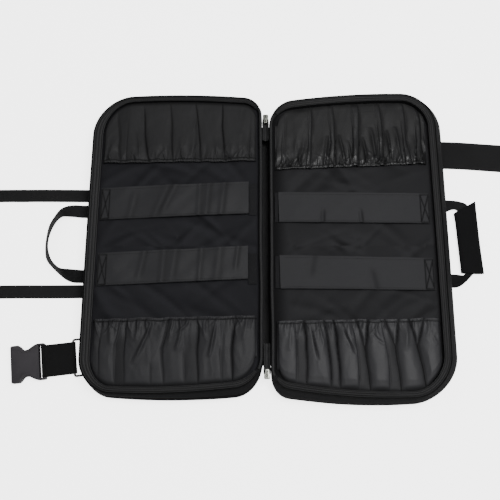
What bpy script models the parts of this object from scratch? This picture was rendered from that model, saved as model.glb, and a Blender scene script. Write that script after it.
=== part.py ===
"""A chef's knife roll lying open on its back: two shallow trays of dark fabric joined along a spine.

Sizes are in millimetres and are turned into metres as each mesh is made.
X runs across both leaves, Y along the spine and Z up; the origin is on the floor at the spine.
A leaf is drawn once in its own terms: u is the distance outward from the spine, v runs along Y.
"""
import math

import bmesh
import bpy
from mathutils import Matrix, Vector

mm = 0.001
gap = 0.3               # left between pieces that touch
tape_thick = 1.0        # woven zipper tape
coil_radius = 1.2       # zipper coil
piping_radius = 2.4     # corded edge along the spine
cloth = 1.2             # pocket cloth
webbing = 1.6           # strap webbing
fabric = 2.0            # shell fabric with its backing
panel_thick = 7.0       # stiffened inner panel
narrow_strap = 20.5     # width of the small straps and the carrying handles
wide_strap = 46.0       # width of the long strap
buckle_turn = 7.0       # degrees that the buckle and its strap lie askew

# Each leaf: corners of the rim as (u, v, radius), how wide the hem is on each side, how far the panel
# lies inside the rim, how far each side bows out, and its heights.
# wall has a row for each height: its share of the rim height, then how far the wall stands out
# from the rim on the spine, top, outer and bottom sides. slump is the share of the bottom side's
# bulge that is lost by the outer corner.
leaves = {
    "left": {
        "sign": -1,
        "corners": {
            "spine_bottom": (3, -206, 42), "outer_bottom": (267, -215, 46),
            "outer_top": (266.5, 239.5, 62), "spine_top": (3, 240.5, 28),
        },
        "hem": {"spine": 5.0, "top": 9.0, "outer": 16.0, "bottom": 11.0},
        "panel_inset": {"spine": 2.6, "top": 5.0, "outer": 11.5, "bottom": 7.5},
        "bows": {"bottom": 8, "outer": 1, "top": 7}, "slump": 0.7,
        "rim": 27, "spine_rim": 25, "panel_top": 22.5,
        "wall": [
            (0.00, -7.0, -10.0, -16.0, -6.0),
            (0.10, -3.0, -5.0, -11.0, 0.0),
            (0.33, -1.0, -1.0, -8.0, 8.0),
            (0.55, 0.0, 1.0, -3.5, 11.0),
            (0.80, 0.0, 1.5, -0.5, 7.0),
        ],
    },
    "right": {
        "sign": 1,
        "corners": {
            "spine_bottom": (8, -209, 27), "outer_bottom": (266.5, -221, 56),
            "outer_top": (268, 246, 50), "spine_top": (8, 230.5, 38),
        },
        "hem": {"spine": 5.0, "top": 12.0, "outer": 12.0, "bottom": 11.0},
        "panel_inset": {"spine": 2.6, "top": 7.5, "outer": 7.5, "bottom": 7.5},
        "bows": {"bottom": 10, "outer": 1, "top": 7.5}, "slump": 0.6,
        "rim": 31, "spine_rim": 27, "panel_top": 23.5,
        "wall": [
            (0.00, -7.0, -6.0, -2.0, -3.0),
            (0.10, -3.0, -1.0, 4.0, 4.0),
            (0.33, -1.0, 3.0, 9.0, 9.0),
            (0.55, 0.0, 4.0, 10.0, 11.0),
            (0.80, 0.0, 3.0, 6.0, 7.0),
        ],
    },
}
sides = ("spine", "top", "outer", "bottom")

# Each gathered pocket: the leaf, which end of it the pocket is sewn to, where its mouth lies at the
# spine and at the outer side, the seams between its slots as distances u, and its fullness.
pockets = {
    "left_top_pocket": {
        "leaf": "left", "end": "top", "mouth": (135.5, 131.5), "fullness": 8.0,
        "seams": (12, 58, 96, 136, 174, 214, 249.6),
    },
    "left_bottom_pocket": {
        "leaf": "left", "end": "bottom", "mouth": (-105.5, -111), "fullness": 9.0,
        "seams": (12, 54, 105, 153, 206, 249.6),
    },
    "right_top_pocket": {
        "leaf": "right", "end": "top", "mouth": (121, 130.5), "fullness": 8.5,
        "seams": (17, 36, 74, 111, 149, 187, 221, 251),
    },
    "right_bottom_pocket": {
        "leaf": "right", "end": "bottom", "mouth": (-114, -110), "fullness": 11.0,
        "seams": (17, 58, 102, 146, 189, 224, 252.4),
    },
}
mouth_share = 0.74      # fullness left at the elastic mouth
columns_per_slot = 6
# Fullness of a slot along its length: share of the way from mouth to foot, share of fullness.
slot_profile = ((0.0, mouth_share), (0.10, 0.86), (0.32, 1.0), (0.62, 0.95), (0.86, 0.66),
                (1.0, 0.30))

# Each loop band: corners of its lower edge then its upper edge, left end first, and how high
# it lifts off the panel at its ends and in its middle.
bands = {
    "left_upper_band": {
        "leaf": "left", "low": (-249.5, 40.5, -24, 50), "high": (-249.5, 91.5, -24, 101.5),
        "lift": (0.0, 1.2, 2.6),
    },
    "left_lower_band": {
        "leaf": "left", "low": (-249, -61.5, -25, -51.5), "high": (-249, -11.5, -25, -1),
        "lift": (0.0, 1.0, 3.2),
    },
    "right_upper_band": {
        "leaf": "right", "low": (22, 36.5, 250.5, 34.5), "high": (21, 84.5, 250, 82.5),
        "lift": (0.8, 1.4, 0.0),
    },
    "right_lower_band": {
        "leaf": "right", "low": (23, -66, 250.5, -68.5), "high": (22, -15, 250.5, -19.5),
        "lift": (0.8, 1.2, 0.0),
    },
}
band_rows = 14

# Each patch that a band closes on: lowest x and y, highest x and y.
patches = {
    "left_upper_patch": ("left", -23.6, 48.5, -11.5, 99.0),
    "left_lower_patch": ("left", -24.6, -58.5, -11.5, -12.0),
    "right_upper_patch": ("right", 15.5, 37.0, 20.6, 84.0),
    "right_lower_patch": ("right", 15.5, -65.0, 21.6, -16.0),
}
patch_thick = 1.0

# Straps that lie on the floor: a row for each place along them, as the x, the two y edges and the
# height of the middle of the webbing. The first x is worked out from the wall that they leave.
floor_straps = {
    "left_upper_strap": ("left", ((None, 76.5, 97.0, 1.1), (-330, 77, 97.5, 1.2), (-380, 77, 97.5, 1.1),
                                  (-423, 76.5, 97, 1.1))),
    "left_lower_strap": ("left", ((None, -75.5, -55.0, 1.1), (-320, -76, -55.5, 1.1),
                                  (-365, -76, -55.5, 1.2), (-409, -76.5, -56, 1.1))),
    "right_wide_strap": ("right", ((None, 133, 179, 1.1), (310, 131.5, 177.5, 1.3), (345, 129, 175, 1.2),
                                   (381, 126.5, 172.5, 1.1))),
}

# The left handle: a row for each section, as the middle of the webbing and its lean in degrees,
# 0 where it lies flat and 90 where it stands on its edge.
left_handle_rows = (
    (None, 61, 1.1, 0), (-280, 61, 1.3, 2), (-295, 61.5, 3.2, 9), (-308, 59, 6.2, 24),
    (-318, 50.5, 9.4, 49), (-325.5, 36, 11.0, 69), (-329.5, 17, 11.0, 75), (-330, 0, 11.0, 75),
    (-327, -14, 11.0, 75), (-319, -26, 11.0, 74), (-307, -36.5, 10.9, 70), (-294, -41, 7.0, 38),
    (-280, -42, 1.5, 3), (None, -42.2, 1.1, 0),
)

# The right handle: a row for each fold or end, as its inner edge, its outer edge and its height.
right_handle_rows = (
    (None, 58.5, None, 81.0, 1.1), (281.0, 60.0, 283.5, 80.0, 1.4), (291.0, 63.5, 303.0, 77.0, 3.8),
    (298.5, 60.5, 316.0, 69.0, 4.6), (299.5, 44.0, 320.5, 47.0, 4.8), (300.5, 6.0, 321.5, 6.0, 4.8),
    (301.0, -24.0, 322.0, -27.0, 4.8), (301.5, -39.5, 311.5, -42.5, 4.0), (290.5, -39.0, 292.0, -58.5, 1.5),
    (None, -37.5, None, -58.5, 1.1),
)
# The padded wrap round the right handle: a row for each end and its middle, as left and right edges.
wrap_rows = ((292.6, 57.0, 327.5, 76.5), (294.0, 38.0, 328.0, 38.0), (295.0, 6.0, 328.8, 6.0),
             (296.0, -20.0, 330.0, -20.0), (296.5, -37.5, 331.0, -38.5))
wrap_height = 9.0
wrap_wall = 2.0
wrap_steps = 16

# The buckle lies turned about its strap, with its mouth away from the leaf.
buckle_at = (-319.0, -169.5)
buckle_height = 11.0
mouth_height = 6.6
mouth_depth = 33.0
mouth_half = 22.0
# Half the buckle's outline from its strap bar to its mouth: distance from the bar's end, half width.
buckle_outline = ((0.0, 26.4), (12.0, 26.4), (17.0, 24.2), (25.0, 19.2), (31.0, 19.2), (36.0, 25.4),
                  (38.5, 27.2), (48.5, 27.2), (50.0, 25.6))
strap_bar = 4.0         # how thick the bar is that the strap goes round
strap_slot = 5.0        # the gap beside the bar
slot_half = 24.0
tab_half = 20.5         # half the width of the ring's tab
ring_wire = 1.7         # radius of the ring's wire
ring_corner = 2.6       # radius of its corners
ring_centre = (-272.6, -164.0)
ring_size = (13.0, 53.0)

# Fabric across the spine: at the floor between the leaves, and a higher piece at each end.
spine_strip = (-176.0, 204.0)
spine_strip_top = 2.0
spine_ends = {"spine_end_top": (172.0, 208.0), "spine_end_bottom": (-190.0, -146.0)}
spine_end_height = 23.0
spine_end_sag = 3.0
spine_end_thick = 1.8
# Each zipper slider: its middle, and which way along Y it was last drawn.
sliders = {"zipper_slider_top": (2.4, 207.0, 1), "zipper_slider_bottom": (2.4, -190.0, -1)}
# Half a slider's outline from its wide front to its narrow back, as distance and half width.
slider_outline = ((7.2, 3.0), (6.2, 4.3), (1.5, 4.4), (-3.0, 3.2), (-6.4, 3.0), (-7.2, 2.2))
slider_height = 3.6
pull_radius = 0.9

colours = {
    "shell": (0.020, 0.020, 0.022), "panel": (0.024, 0.024, 0.026), "tape": (0.018, 0.018, 0.018),
    "satin": (0.035, 0.035, 0.037), "band": (0.032, 0.032, 0.034), "webbing": (0.016, 0.016, 0.016),
    "hard": (0.040, 0.037, 0.041), "metal": (0.55, 0.56, 0.52),
}


def material(name, kind, roughness, metallic=0.0):
    """One Principled material of a named colour."""
    made = bpy.data.materials.new(name)
    made.use_nodes = True
    shader = made.node_tree.nodes["Principled BSDF"]
    shader.inputs["Base Color"].default_value = (*colours[kind], 1.0)
    shader.inputs["Roughness"].default_value = roughness
    shader.inputs["Metallic"].default_value = metallic
    return made


def add_object(name, mesh, kind, roughness=0.8, metallic=0.0):
    """Link a mesh to the model's collection as one named piece with its own material."""
    piece = bpy.data.objects.new(name, mesh)
    collection.objects.link(piece)
    mesh.materials.clear()
    mesh.materials.append(material(name, kind, roughness, metallic))
    return piece


def mesh_from(name, points, faces):
    """A mesh from points in millimetres, its faces turned to agree with each other."""
    mesh = bpy.data.meshes.new(name)
    mesh.from_pydata([Vector(p) * mm for p in points], [], faces)
    mesh.update()
    return mesh


def grid_faces(rows, columns, wrap=False):
    """Quads between rows of equal length; wrap joins each row's end to its start."""
    last = columns if wrap else columns - 1
    faces = []
    for i in range(rows - 1):
        for j in range(last):
            k = (j + 1) % columns
            below, above = i * columns, (i + 1) * columns
            faces.append((below + j, below + k, above + k, above + j))
    return faces


def face_up(mesh):
    """Turn an open sheet over if most of it faces down."""
    if sum(polygon.normal.z * polygon.area for polygon in mesh.polygons) < 0:
        mesh.flip_normals()


def thicken(piece, thickness, offset=-1.0):
    """Give an open sheet its thickness."""
    solid = piece.modifiers.new("thickness", "SOLIDIFY")
    solid.thickness = thickness * mm
    solid.offset = offset


def sheet(name, rows, thickness, kind, roughness=0.8, offset=-1.0):
    """A cloth piece from rows of points, the rows along its length."""
    points = [p for row in rows for p in row]
    mesh = mesh_from(name, points, grid_faces(len(rows), len(rows[0])))
    face_up(mesh)
    thicken(add_object(name, mesh, kind, roughness), thickness, offset)


def blend_values(table, column, at):
    """Straight-line lookup in one column of rows that are sorted by their first value."""
    for low, high in zip(table, table[1:]):
        if at <= high[0]:
            share = (at - low[0]) / (high[0] - low[0])
            return low[column] + (high[column] - low[column]) * max(0.0, share)
    return table[-1][column]


def side_weights(normal):
    """How much of each side an outline point belongs to, from its outward direction (u, v)."""
    across, along = normal
    return {
        "spine": across * across if across < 0 else 0.0, "outer": across * across if across > 0 else 0.0,
        "bottom": along * along if along < 0 else 0.0, "top": along * along if along > 0 else 0.0,
    }


def around(normal, values):
    """A value that changes from side to side of a leaf, blended round the corners."""
    weights = side_weights(normal)
    return sum(weights[side] * values[side] for side in sides)


def rim_outline(leaf, corner_steps=6, side_steps=4):
    """The rim as (u, v, outward direction), anticlockwise from the spine's lower corner."""
    order = ("spine_bottom", "outer_bottom", "outer_top", "spine_top")
    corners = [leaf["corners"][name] for name in order]
    outline = []
    for k, (u, v, radius) in enumerate(corners):
        before = Vector(corners[k - 1][:2]) - Vector((u, v))
        after = Vector(corners[(k + 1) % 4][:2]) - Vector((u, v))
        before.normalize()
        after.normalize()
        reach = radius / math.tan(before.angle(after) / 2)
        away = radius / math.sin(before.angle(after) / 2)
        centre = Vector((u, v)) + (before + after).normalized() * away
        start = Vector((u, v)) + before * reach
        end = Vector((u, v)) + after * reach
        first = math.atan2(start.y - centre.y, start.x - centre.x)
        turn = (math.atan2(end.y - centre.y, end.x - centre.x) - first) % (2 * math.pi)
        for step in range(corner_steps + 1):
            angle = first + turn * step / corner_steps
            out = Vector((math.cos(angle), math.sin(angle)))
            outline.append((centre + out * radius, out))
        following = corners[(k + 1) % 4]
        ahead = -after
        next_after = Vector(corners[(k + 2) % 4][:2]) - Vector(following[:2])
        next_reach = following[2] / math.tan(ahead.angle(next_after) / 2)
        finish = Vector(following[:2]) + ahead * next_reach
        out = Vector((after.y, -after.x))
        for step in range(1, side_steps):
            outline.append((end.lerp(finish, step / side_steps), out))
    return bowed(leaf, outline)


def bowed(leaf, outline):
    """Push each side out in a shallow arc, most at its middle."""
    corners = leaf["corners"]
    centre_u = (corners["spine_top"][0] + corners["outer_top"][0]) / 2
    centre_v = (corners["outer_top"][1] + corners["outer_bottom"][1]) / 2
    half_u = (corners["outer_top"][0] - corners["spine_top"][0]) / 2
    half_v = (corners["outer_top"][1] - corners["outer_bottom"][1]) / 2
    moved = []
    for place, out in outline:
        across = 1 - min(1.0, abs(place.x - centre_u) / half_u) ** 2
        along = 1 - min(1.0, abs(place.y - centre_v) / half_v) ** 2
        weights = side_weights(out)
        bows = leaf["bows"]
        push = (weights["top"] * bows["top"] + weights["bottom"] * bows["bottom"]) * across
        push += weights["outer"] * bows["outer"] * along
        moved.append((place + out * push, out))
    return moved


def offset_row(leaf, outline, out_by, height_by):
    """A ring of points round a leaf, from two functions of the outward direction."""
    row = []
    for place, out in outline:
        point = place + out * out_by(out)
        row.append((leaf["sign"] * point.x, point.y, height_by(out)))
    return row


def wall_row(leaf, outline, share, stand_out):
    """One ring of the wall, its bulge on the bottom side dying away towards the outer corner."""
    first, last = leaf["corners"]["spine_bottom"][0], leaf["corners"]["outer_bottom"][0]
    row = []
    for place, out in outline:
        values = dict(zip(sides, stand_out))
        if values["bottom"] > 0:
            across = min(1.0, max(0.0, (place.x - first) / (last - first)))
            values["bottom"] *= 1 - leaf["slump"] * across
        point = place + out * around(out, values)
        row.append((leaf["sign"] * point.x, point.y, share * rim_height(leaf, out)))
    return row


def rim_height(leaf, out):
    """Height of the rim, a little lower along the spine."""
    others = {side: leaf["rim"] for side in sides}
    others["spine"] = leaf["spine_rim"]
    return around(out, others)


def wall_out(leaf, side, height):
    """How far a wall stands out from the rim at a height."""
    rim = leaf["spine_rim"] if side == "spine" else leaf["rim"]
    table = leaf["wall"] + [(1.0, 0.0, 0.0, 0.0, 0.0)]
    return blend_values(table, 1 + sides.index(side), height / rim)


def outer_edge(leaf, v):
    """Distance u of the rim on the outer side at v, by the same bow as the outline."""
    corners = leaf["corners"]
    low = corners["outer_bottom"]
    high = corners["outer_top"]
    share = (v - low[1]) / (high[1] - low[1])
    middle = (low[1] + high[1]) / 2
    along = 1 - (abs(v - middle) / ((high[1] - low[1]) / 2)) ** 2
    return low[0] + (high[0] - low[0]) * share + leaf["bows"]["outer"] * along


def strap_start(leaf, v, top):
    """Signed x where a strap of this height tucks in under the rounded foot of the wall."""
    clearance = 0.45
    return leaf["sign"] * (outer_edge(leaf, v) + wall_out(leaf, "outer", top + clearance))


def build_shell(side):
    """A leaf's outer shell: a flat base, a bulging wall, and a hem turned in and down at the rim."""
    leaf = leaves[side]
    outline = rim_outline(leaf)
    lip = leaf["panel_top"] + gap
    rows = [wall_row(leaf, outline, share, stand_out) for share, *stand_out in leaf["wall"]]
    rows.append(offset_row(leaf, outline, lambda out: -0.8, lambda out: rim_height(leaf, out)))
    rows.append(offset_row(leaf, outline, lambda out: 1.2 - around(out, leaf["hem"]),
                           lambda out: rim_height(leaf, out)))
    rows.append(offset_row(leaf, outline, lambda out: -around(out, leaf["hem"]),
                           lambda out: rim_height(leaf, out) - 1.2))
    rows.append(offset_row(leaf, outline, lambda out: -around(out, leaf["hem"]), lambda out: lip))
    count = len(outline)
    faces = grid_faces(len(rows), count, wrap=True)
    faces.append(tuple(reversed(range(count))))
    mesh = mesh_from(side + "_shell", [p for row in rows for p in row], faces)
    if leaf["sign"] < 0:
        mesh.flip_normals()
    thicken(add_object(side + "_shell", mesh, "shell", 0.85), fabric)


def build_panel(side):
    """The stiffened inner panel, lying just under the turned-down hem."""
    leaf = leaves[side]
    outline = rim_outline(leaf, corner_steps=5, side_steps=2)
    row = offset_row(leaf, outline, lambda out: -around(out, leaf["panel_inset"]), lambda out: 0.0)
    curve = bpy.data.curves.new(side + "_panel", "CURVE")
    curve.dimensions = "2D"
    curve.fill_mode = "BOTH"
    curve.extrude = panel_thick * mm / 2
    spline = curve.splines.new("POLY")
    spline.points.add(len(row) - 1)
    for point, (x, y, _) in zip(spline.points, row):
        point.co = (x * mm, y * mm, 0.0, 1.0)
    spline.use_cyclic_u = True
    flat = bpy.data.objects.new(side + "_panel_outline", curve)
    collection.objects.link(flat)
    mesh = bpy.data.meshes.new_from_object(flat.evaluated_get(bpy.context.evaluated_depsgraph_get()))
    weld(mesh)
    bpy.data.objects.remove(flat)
    panel = add_object(side + "_lining", mesh, "panel", 0.9)
    panel.location.z = (leaf["panel_top"] - panel_thick / 2) * mm


def weld(mesh):
    """Join the loose caps of a mesh that came from a curve."""
    work = bmesh.new()
    work.from_mesh(mesh)
    bmesh.ops.remove_doubles(work, verts=work.verts, dist=0.00001)
    bmesh.ops.recalc_face_normals(work, faces=work.faces)
    work.to_mesh(mesh)
    work.free()


def zip_stretch(leaf, past_corner=0.72):
    """The part of the rim that the zipper follows: all but the spine side."""
    outline = rim_outline(leaf)
    kept = [item for item in outline if side_weights(item[1])["spine"] < past_corner]
    first = next(k for k, item in enumerate(kept) if side_weights(item[1])["bottom"] > 0)
    return kept[first:] + kept[:first]


def build_zip(side):
    """The zipper tape lying on the hem on three sides, and the coil along its outer edge."""
    leaf = leaves[side]
    stretch = zip_stretch(leaf)
    rows = []
    for inset, lift in ((3.0, 0.5), (8.0, 0.9), (16.2, 0.4)):
        rows.append(offset_row(leaf, stretch, lambda out: -min(inset, around(out, leaf["hem"]) + 0.2),
                               lambda out: rim_height(leaf, out) + lift + tape_thick))
    sheet(side + "_zip_tape", rows, tape_thick, "tape")
    centre = offset_row(leaf, stretch, lambda out: -1.3,
                        lambda out: rim_height(leaf, out) + gap + coil_radius)
    tube(side + "_zip_coil", centre, coil_radius, "tape")


def tube(name, route, radius, kind, cyclic=False, roughness=0.6, metallic=0.0, resolution=1):
    """A round piece along a route, made a mesh with closed ends."""
    curve = bpy.data.curves.new(name, "CURVE")
    curve.dimensions = "3D"
    curve.bevel_depth = radius * mm
    curve.bevel_resolution = resolution
    curve.use_fill_caps = True
    spline = curve.splines.new("POLY")
    spline.points.add(len(route) - 1)
    for point, place in zip(spline.points, route):
        point.co = (*(Vector(place) * mm), 1.0)
    spline.use_cyclic_u = cyclic
    line = bpy.data.objects.new(name + "_line", curve)
    collection.objects.link(line)
    mesh = bpy.data.meshes.new_from_object(line.evaluated_get(bpy.context.evaluated_depsgraph_get()))
    weld(mesh)
    bpy.data.objects.remove(line)
    return add_object(name, mesh, kind, roughness, metallic)


def build_piping(side):
    """The corded edge that caps the wall along the spine."""
    leaf = leaves[side]
    outline = rim_outline(leaf)
    stretch = [item for item in outline if side_weights(item[1])["spine"] >= 0.80]
    stretch.sort(key=lambda item: item[0].y)
    row = offset_row(leaf, stretch, lambda out: -piping_radius - 0.2,
                     lambda out: rim_height(leaf, out) + gap + piping_radius)
    tube(side + "_piping", row, piping_radius, "shell", resolution=2)


def pocket_foot(leaf, end, u):
    """Where a pocket's foot lies at u: just inside the hem at the leaf's end."""
    clearance = 1.2
    hem = leaf["hem"]
    outline = [(place - out * (max(hem[end], around(out, hem)) + clearance), out)
               for place, out in rim_outline(leaf, 10, 8)]
    facing = 1 if end == "top" else -1
    wanted = [place for place, out in outline if facing * out.y > 0.02]
    wanted.sort(key=lambda place: place.x)
    for low, high in zip(wanted, wanted[1:]):
        if low.x <= u <= high.x and high.x > low.x:
            return low.y + (high.y - low.y) * (u - low.x) / (high.x - low.x)
    return wanted[0].y if u < wanted[0].x else wanted[-1].y


def build_pocket(name):
    """A gathered row of slots: cloth sewn down at its foot, sides and seams, and full between them."""
    plan = pockets[name]
    leaf = leaves[plan["leaf"]]
    floor = leaf["panel_top"] + gap + cloth
    seams = plan["seams"]
    columns = []
    for low, high in zip(seams, seams[1:]):
        for step in range(columns_per_slot):
            columns.append((low + (high - low) * step / columns_per_slot, step / columns_per_slot))
    columns.append((seams[-1], 0.0))
    near, far = plan["mouth"]
    rows = []
    for share, full in slot_profile:
        row = []
        for u, phase in columns:
            across = (u - seams[0]) / (seams[-1] - seams[0])
            mouth = near + (far - near) * across
            foot = pocket_foot(leaf, plan["end"], u)
            crown = math.sin(math.pi * phase) ** 0.7
            pleat = 1.0 - 0.16 * math.sin(2 * math.pi * phase) * (1 - share)
            scallop = 2.0 * crown * (1 - share) * (1 if plan["end"] == "top" else -1)
            v = mouth + (foot - mouth) * share + scallop
            row.append((leaf["sign"] * u, v, floor + plan["fullness"] * full * crown * pleat))
        rows.append(row)
    sheet(name, rows, cloth, "satin", 0.45)


def build_band(name):
    """A loop band lying along the panel, sewn at its outer end and loose at the other."""
    plan = bands[name]
    floor = leaves[plan["leaf"]]["panel_top"] + gap + cloth
    low_a, low_b = Vector(plan["low"][:2]), Vector(plan["low"][2:])
    high_a, high_b = Vector(plan["high"][:2]), Vector(plan["high"][2:])
    start, middle, end = plan["lift"]
    rows = []
    for k in range(band_rows + 1):
        share = k / band_rows
        lift = start * (1 - share) ** 3 + end * share ** 3 + middle * (4 * share * (1 - share)) ** 2
        lift += 0.35 * (1 + math.sin(share * 17)) * min(1.0, 6 * share, 6 * (1 - share))
        low = low_a.lerp(low_b, share)
        high = high_a.lerp(high_b, share)
        rows.append([(*low.lerp(high, w), floor + max(0.0, lift + bulge))
                     for w, bulge in ((0.0, 0.0), (0.5, 0.4 * lift), (1.0, 0.0))])
    sheet(name, rows, cloth, "band", 0.6)


def build_patch(name):
    """A thin patch sewn to the panel where a band's loose end closes."""
    side, x_low, y_low, x_high, y_high = patches[name]
    top = leaves[side]["panel_top"] + gap + patch_thick
    rows = [[(x_low, y_low, top), (x_high, y_low, top)], [(x_low, y_high, top), (x_high, y_high, top)]]
    sheet(name, rows, patch_thick, "webbing")


def build_floor_strap(name):
    """A strap lying flat on the floor, its inner end tucked under the leaf's wall."""
    side, table = floor_straps[name]
    leaf = leaves[side]
    rows = []
    for x, low, high, height in table:
        top = height + webbing / 2
        ends = [strap_start(leaf, y, top) if x is None else x for y in (low, high)]
        middle = ((ends[0] + ends[1]) / 2, (low + high) / 2, top)
        rows.append([(ends[0], low, top), middle, (ends[1], high, top)])
    sheet(name, rows, webbing, "webbing")


def smooth_path(rows, steps):
    """Points on a smooth curve through every row of a table."""
    table = [Vector(row) for row in rows]
    table = [2 * table[0] - table[1]] + table + [2 * table[-1] - table[-2]]
    path = []
    for a, b, c, d in zip(table, table[1:], table[2:], table[3:]):
        for step in range(steps):
            t = step / steps
            path.append(0.5 * (2 * b + (c - a) * t + (2 * a - 5 * b + 4 * c - d) * t ** 2
                               + (3 * b - a - 3 * c + d) * t ** 3))
    path.append(table[-2])
    return path


def build_left_handle():
    """A webbing loop that leaves the leaf flat, stands on its edge at the grip, and comes back flat."""
    leaf = leaves["left"]
    table = []
    for x, y, z, lean in left_handle_rows:
        if x is None:
            top = z + webbing / 2
            x = max(strap_start(leaf, y - 12, top), strap_start(leaf, y + 12, top)) - 2 * gap
        table.append((x, y, z, lean))
    path = smooth_path(table, 2)
    rows = []
    for k, point in enumerate(path):
        after = path[min(k + 1, len(path) - 1)]
        before = path[max(k - 1, 0)]
        along = Vector((after[0] - before[0], after[1] - before[1], 0)).normalized()
        across = Vector((-along.y, along.x, 0))
        lean = math.radians(point[3])
        width = (across * math.cos(lean) + Vector((0, 0, 1)) * math.sin(lean)) * narrow_strap / 2
        centre = Vector(point[:3])
        rows.append([centre - width, centre, centre + width])
    sheet("left_handle", rows, webbing, "webbing", offset=0.0)


def build_right_handle():
    """A flat webbing loop, folded square at its corners, that runs through the padded wrap."""
    leaf = leaves["right"]
    rows = []
    for x_in, y_in, x_out, y_out, height in right_handle_rows:
        if x_in is None:
            x_in = strap_start(leaf, y_in, height + webbing / 2)
            x_out = strap_start(leaf, y_out, height + webbing / 2)
        inner = Vector((x_in, y_in, height))
        outer = Vector((x_out, y_out, height))
        rows.append([inner, inner.lerp(outer, 0.5), outer])
    sheet("right_handle", rows, webbing, "webbing", offset=0.0)


def build_wrap():
    """The padded sleeve round the right handle, open at both ends."""
    half = wrap_height / 2
    middle = gap + half
    rows = []
    for x_left, y_left, x_right, y_right in wrap_rows:
        left = Vector((x_left, y_left, middle))
        right = Vector((x_right, y_right, middle))
        centre = left.lerp(right, 0.5)
        reach = (right - left) / 2
        row = []
        for step in range(wrap_steps):
            angle = 2 * math.pi * step / wrap_steps
            across = math.copysign(abs(math.cos(angle)) ** 0.55, math.cos(angle))
            up = math.copysign(abs(math.sin(angle)) ** 0.75, math.sin(angle))
            row.append(centre + reach * across + Vector((0, 0, half * up)))
        rows.append(row)
    points = [p for row in rows for p in row]
    mesh = mesh_from("right_handle_wrap", points, grid_faces(len(rows), wrap_steps, wrap=True))
    thicken(add_object("right_handle_wrap", mesh, "shell"), wrap_wall)


def turned(points, centre, angle):
    """Plan points in a piece's own terms, turned and moved to their place."""
    turn = Matrix.Rotation(math.radians(angle), 3, "Z")
    return [turn @ Vector(p) + Vector((*centre, 0)) for p in points]


def block(name, low, high, kind="hard"):
    """A box between two corners, with its scale applied."""
    work = bmesh.new()
    bmesh.ops.create_cube(work, size=1.0)
    size = Vector(high) - Vector(low)
    bmesh.ops.scale(work, vec=size * mm, verts=work.verts)
    bmesh.ops.translate(work, vec=(Vector(low) + Vector(high)) / 2 * mm, verts=work.verts)
    mesh = bpy.data.meshes.new(name)
    work.to_mesh(mesh)
    work.free()
    return add_object(name, mesh, kind, 0.4)


def cutter(name, low, high, turn, at):
    """A box that cuts another piece, kept out of the model."""
    piece = block(name, low, high)
    collection.objects.unlink(piece)
    cutters.objects.link(piece)
    piece.rotation_euler.z = math.radians(turn)
    piece.location = (at[0] * mm, at[1] * mm, 0)
    piece.hide_render = True
    piece.display_type = "WIRE"
    return piece


def cut(piece, tool):
    """Take a cutter's shape out of a piece."""
    away = piece.modifiers.new("cut", "BOOLEAN")
    away.operation = "DIFFERENCE"
    away.object = tool


def plate(name, outline, low, high, kind, roughness, metallic=0.0):
    """A flat outline raised from one height to another."""
    work = bmesh.new()
    face = work.faces.new([work.verts.new(Vector((x, y, low)) * mm) for x, y in outline])
    raised = bmesh.ops.extrude_face_region(work, geom=[face])
    up = [v for v in raised["geom"] if isinstance(v, bmesh.types.BMVert)]
    bmesh.ops.translate(work, vec=(0, 0, (high - low) * mm), verts=up)
    bmesh.ops.recalc_face_normals(work, faces=work.faces)
    mesh = bpy.data.meshes.new(name)
    work.to_mesh(mesh)
    work.free()
    return add_object(name, mesh, kind, roughness, metallic)


def round_edges(piece, width, segments=2):
    """Round a hard piece's sharp edges."""
    soften = piece.modifiers.new("edges", "BEVEL")
    soften.width = width * mm
    soften.segments = segments
    soften.limit_method = "ANGLE"


def build_buckle():
    """The socket half of a side-release buckle: its mouth, side windows and strap bar."""
    outline = [(-along, half) for along, half in buckle_outline]
    outline += [(-along, -half) for along, half in reversed(buckle_outline)]
    base, top = gap, gap + buckle_height
    buckle = plate("buckle", outline, base, top, "hard", 0.35)
    buckle.location = (buckle_at[0] * mm, buckle_at[1] * mm, 0)
    buckle.rotation_euler.z = math.radians(buckle_turn)
    round_edges(buckle, 1.2)
    middle = base + buckle_height / 2
    length = buckle_outline[-1][0]
    mouth_low, mouth_high = middle - mouth_height / 2, middle + mouth_height / 2
    cut(buckle, cutter("mouth_cutter", (-length - 2, -mouth_half, mouth_low),
                       (-length + mouth_depth, mouth_half, mouth_high), buckle_turn, buckle_at))
    cut(buckle, cutter("slot_cutter", (-strap_bar - strap_slot, -slot_half, base - 2),
                       (-strap_bar, slot_half, top + 2), buckle_turn, buckle_at))
    bar_low, bar_high = middle - 2.2, middle + 2.0
    cut(buckle, cutter("bar_top_cutter", (-strap_bar - 1, -slot_half, bar_high),
                       (3, slot_half, top + 2), buckle_turn, buckle_at))
    cut(buckle, cutter("bar_bottom_cutter", (-strap_bar - 1, -slot_half, base - 2),
                       (3, slot_half, bar_low), buckle_turn, buckle_at))


def loop_strap(name, half_width, path, centre, turn):
    """A closed loop of webbing seen from the side as a path of (along, height)."""
    rows = []
    for along, height in path:
        ends = [(along, -half_width, height), (along, half_width, height)]
        rows.append(turned(ends, centre, turn))
    points = [p for row in rows for p in row]
    faces = []
    count = len(rows)
    for k in range(count):
        following = (k + 1) % count
        faces.append((2 * k, 2 * k + 1, 2 * following + 1, 2 * following))
    mesh = mesh_from(name, points, faces)
    thicken(add_object(name, mesh, "webbing"), webbing)


def racetrack(start, end, radius_start, radius_end, height_start, height_end, steps=6):
    """A flattened loop round two bars, as points of (along, height), anticlockwise."""
    path = []
    for step in range(steps + 1):
        angle = math.pi / 2 + math.pi * step / steps
        path.append((start + radius_start * math.cos(angle), height_start + radius_start * math.sin(angle)))
    for step in range(steps + 1):
        angle = -math.pi / 2 + math.pi * step / steps
        path.append((end + radius_end * math.cos(angle), height_end + radius_end * math.sin(angle)))
    return path


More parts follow.
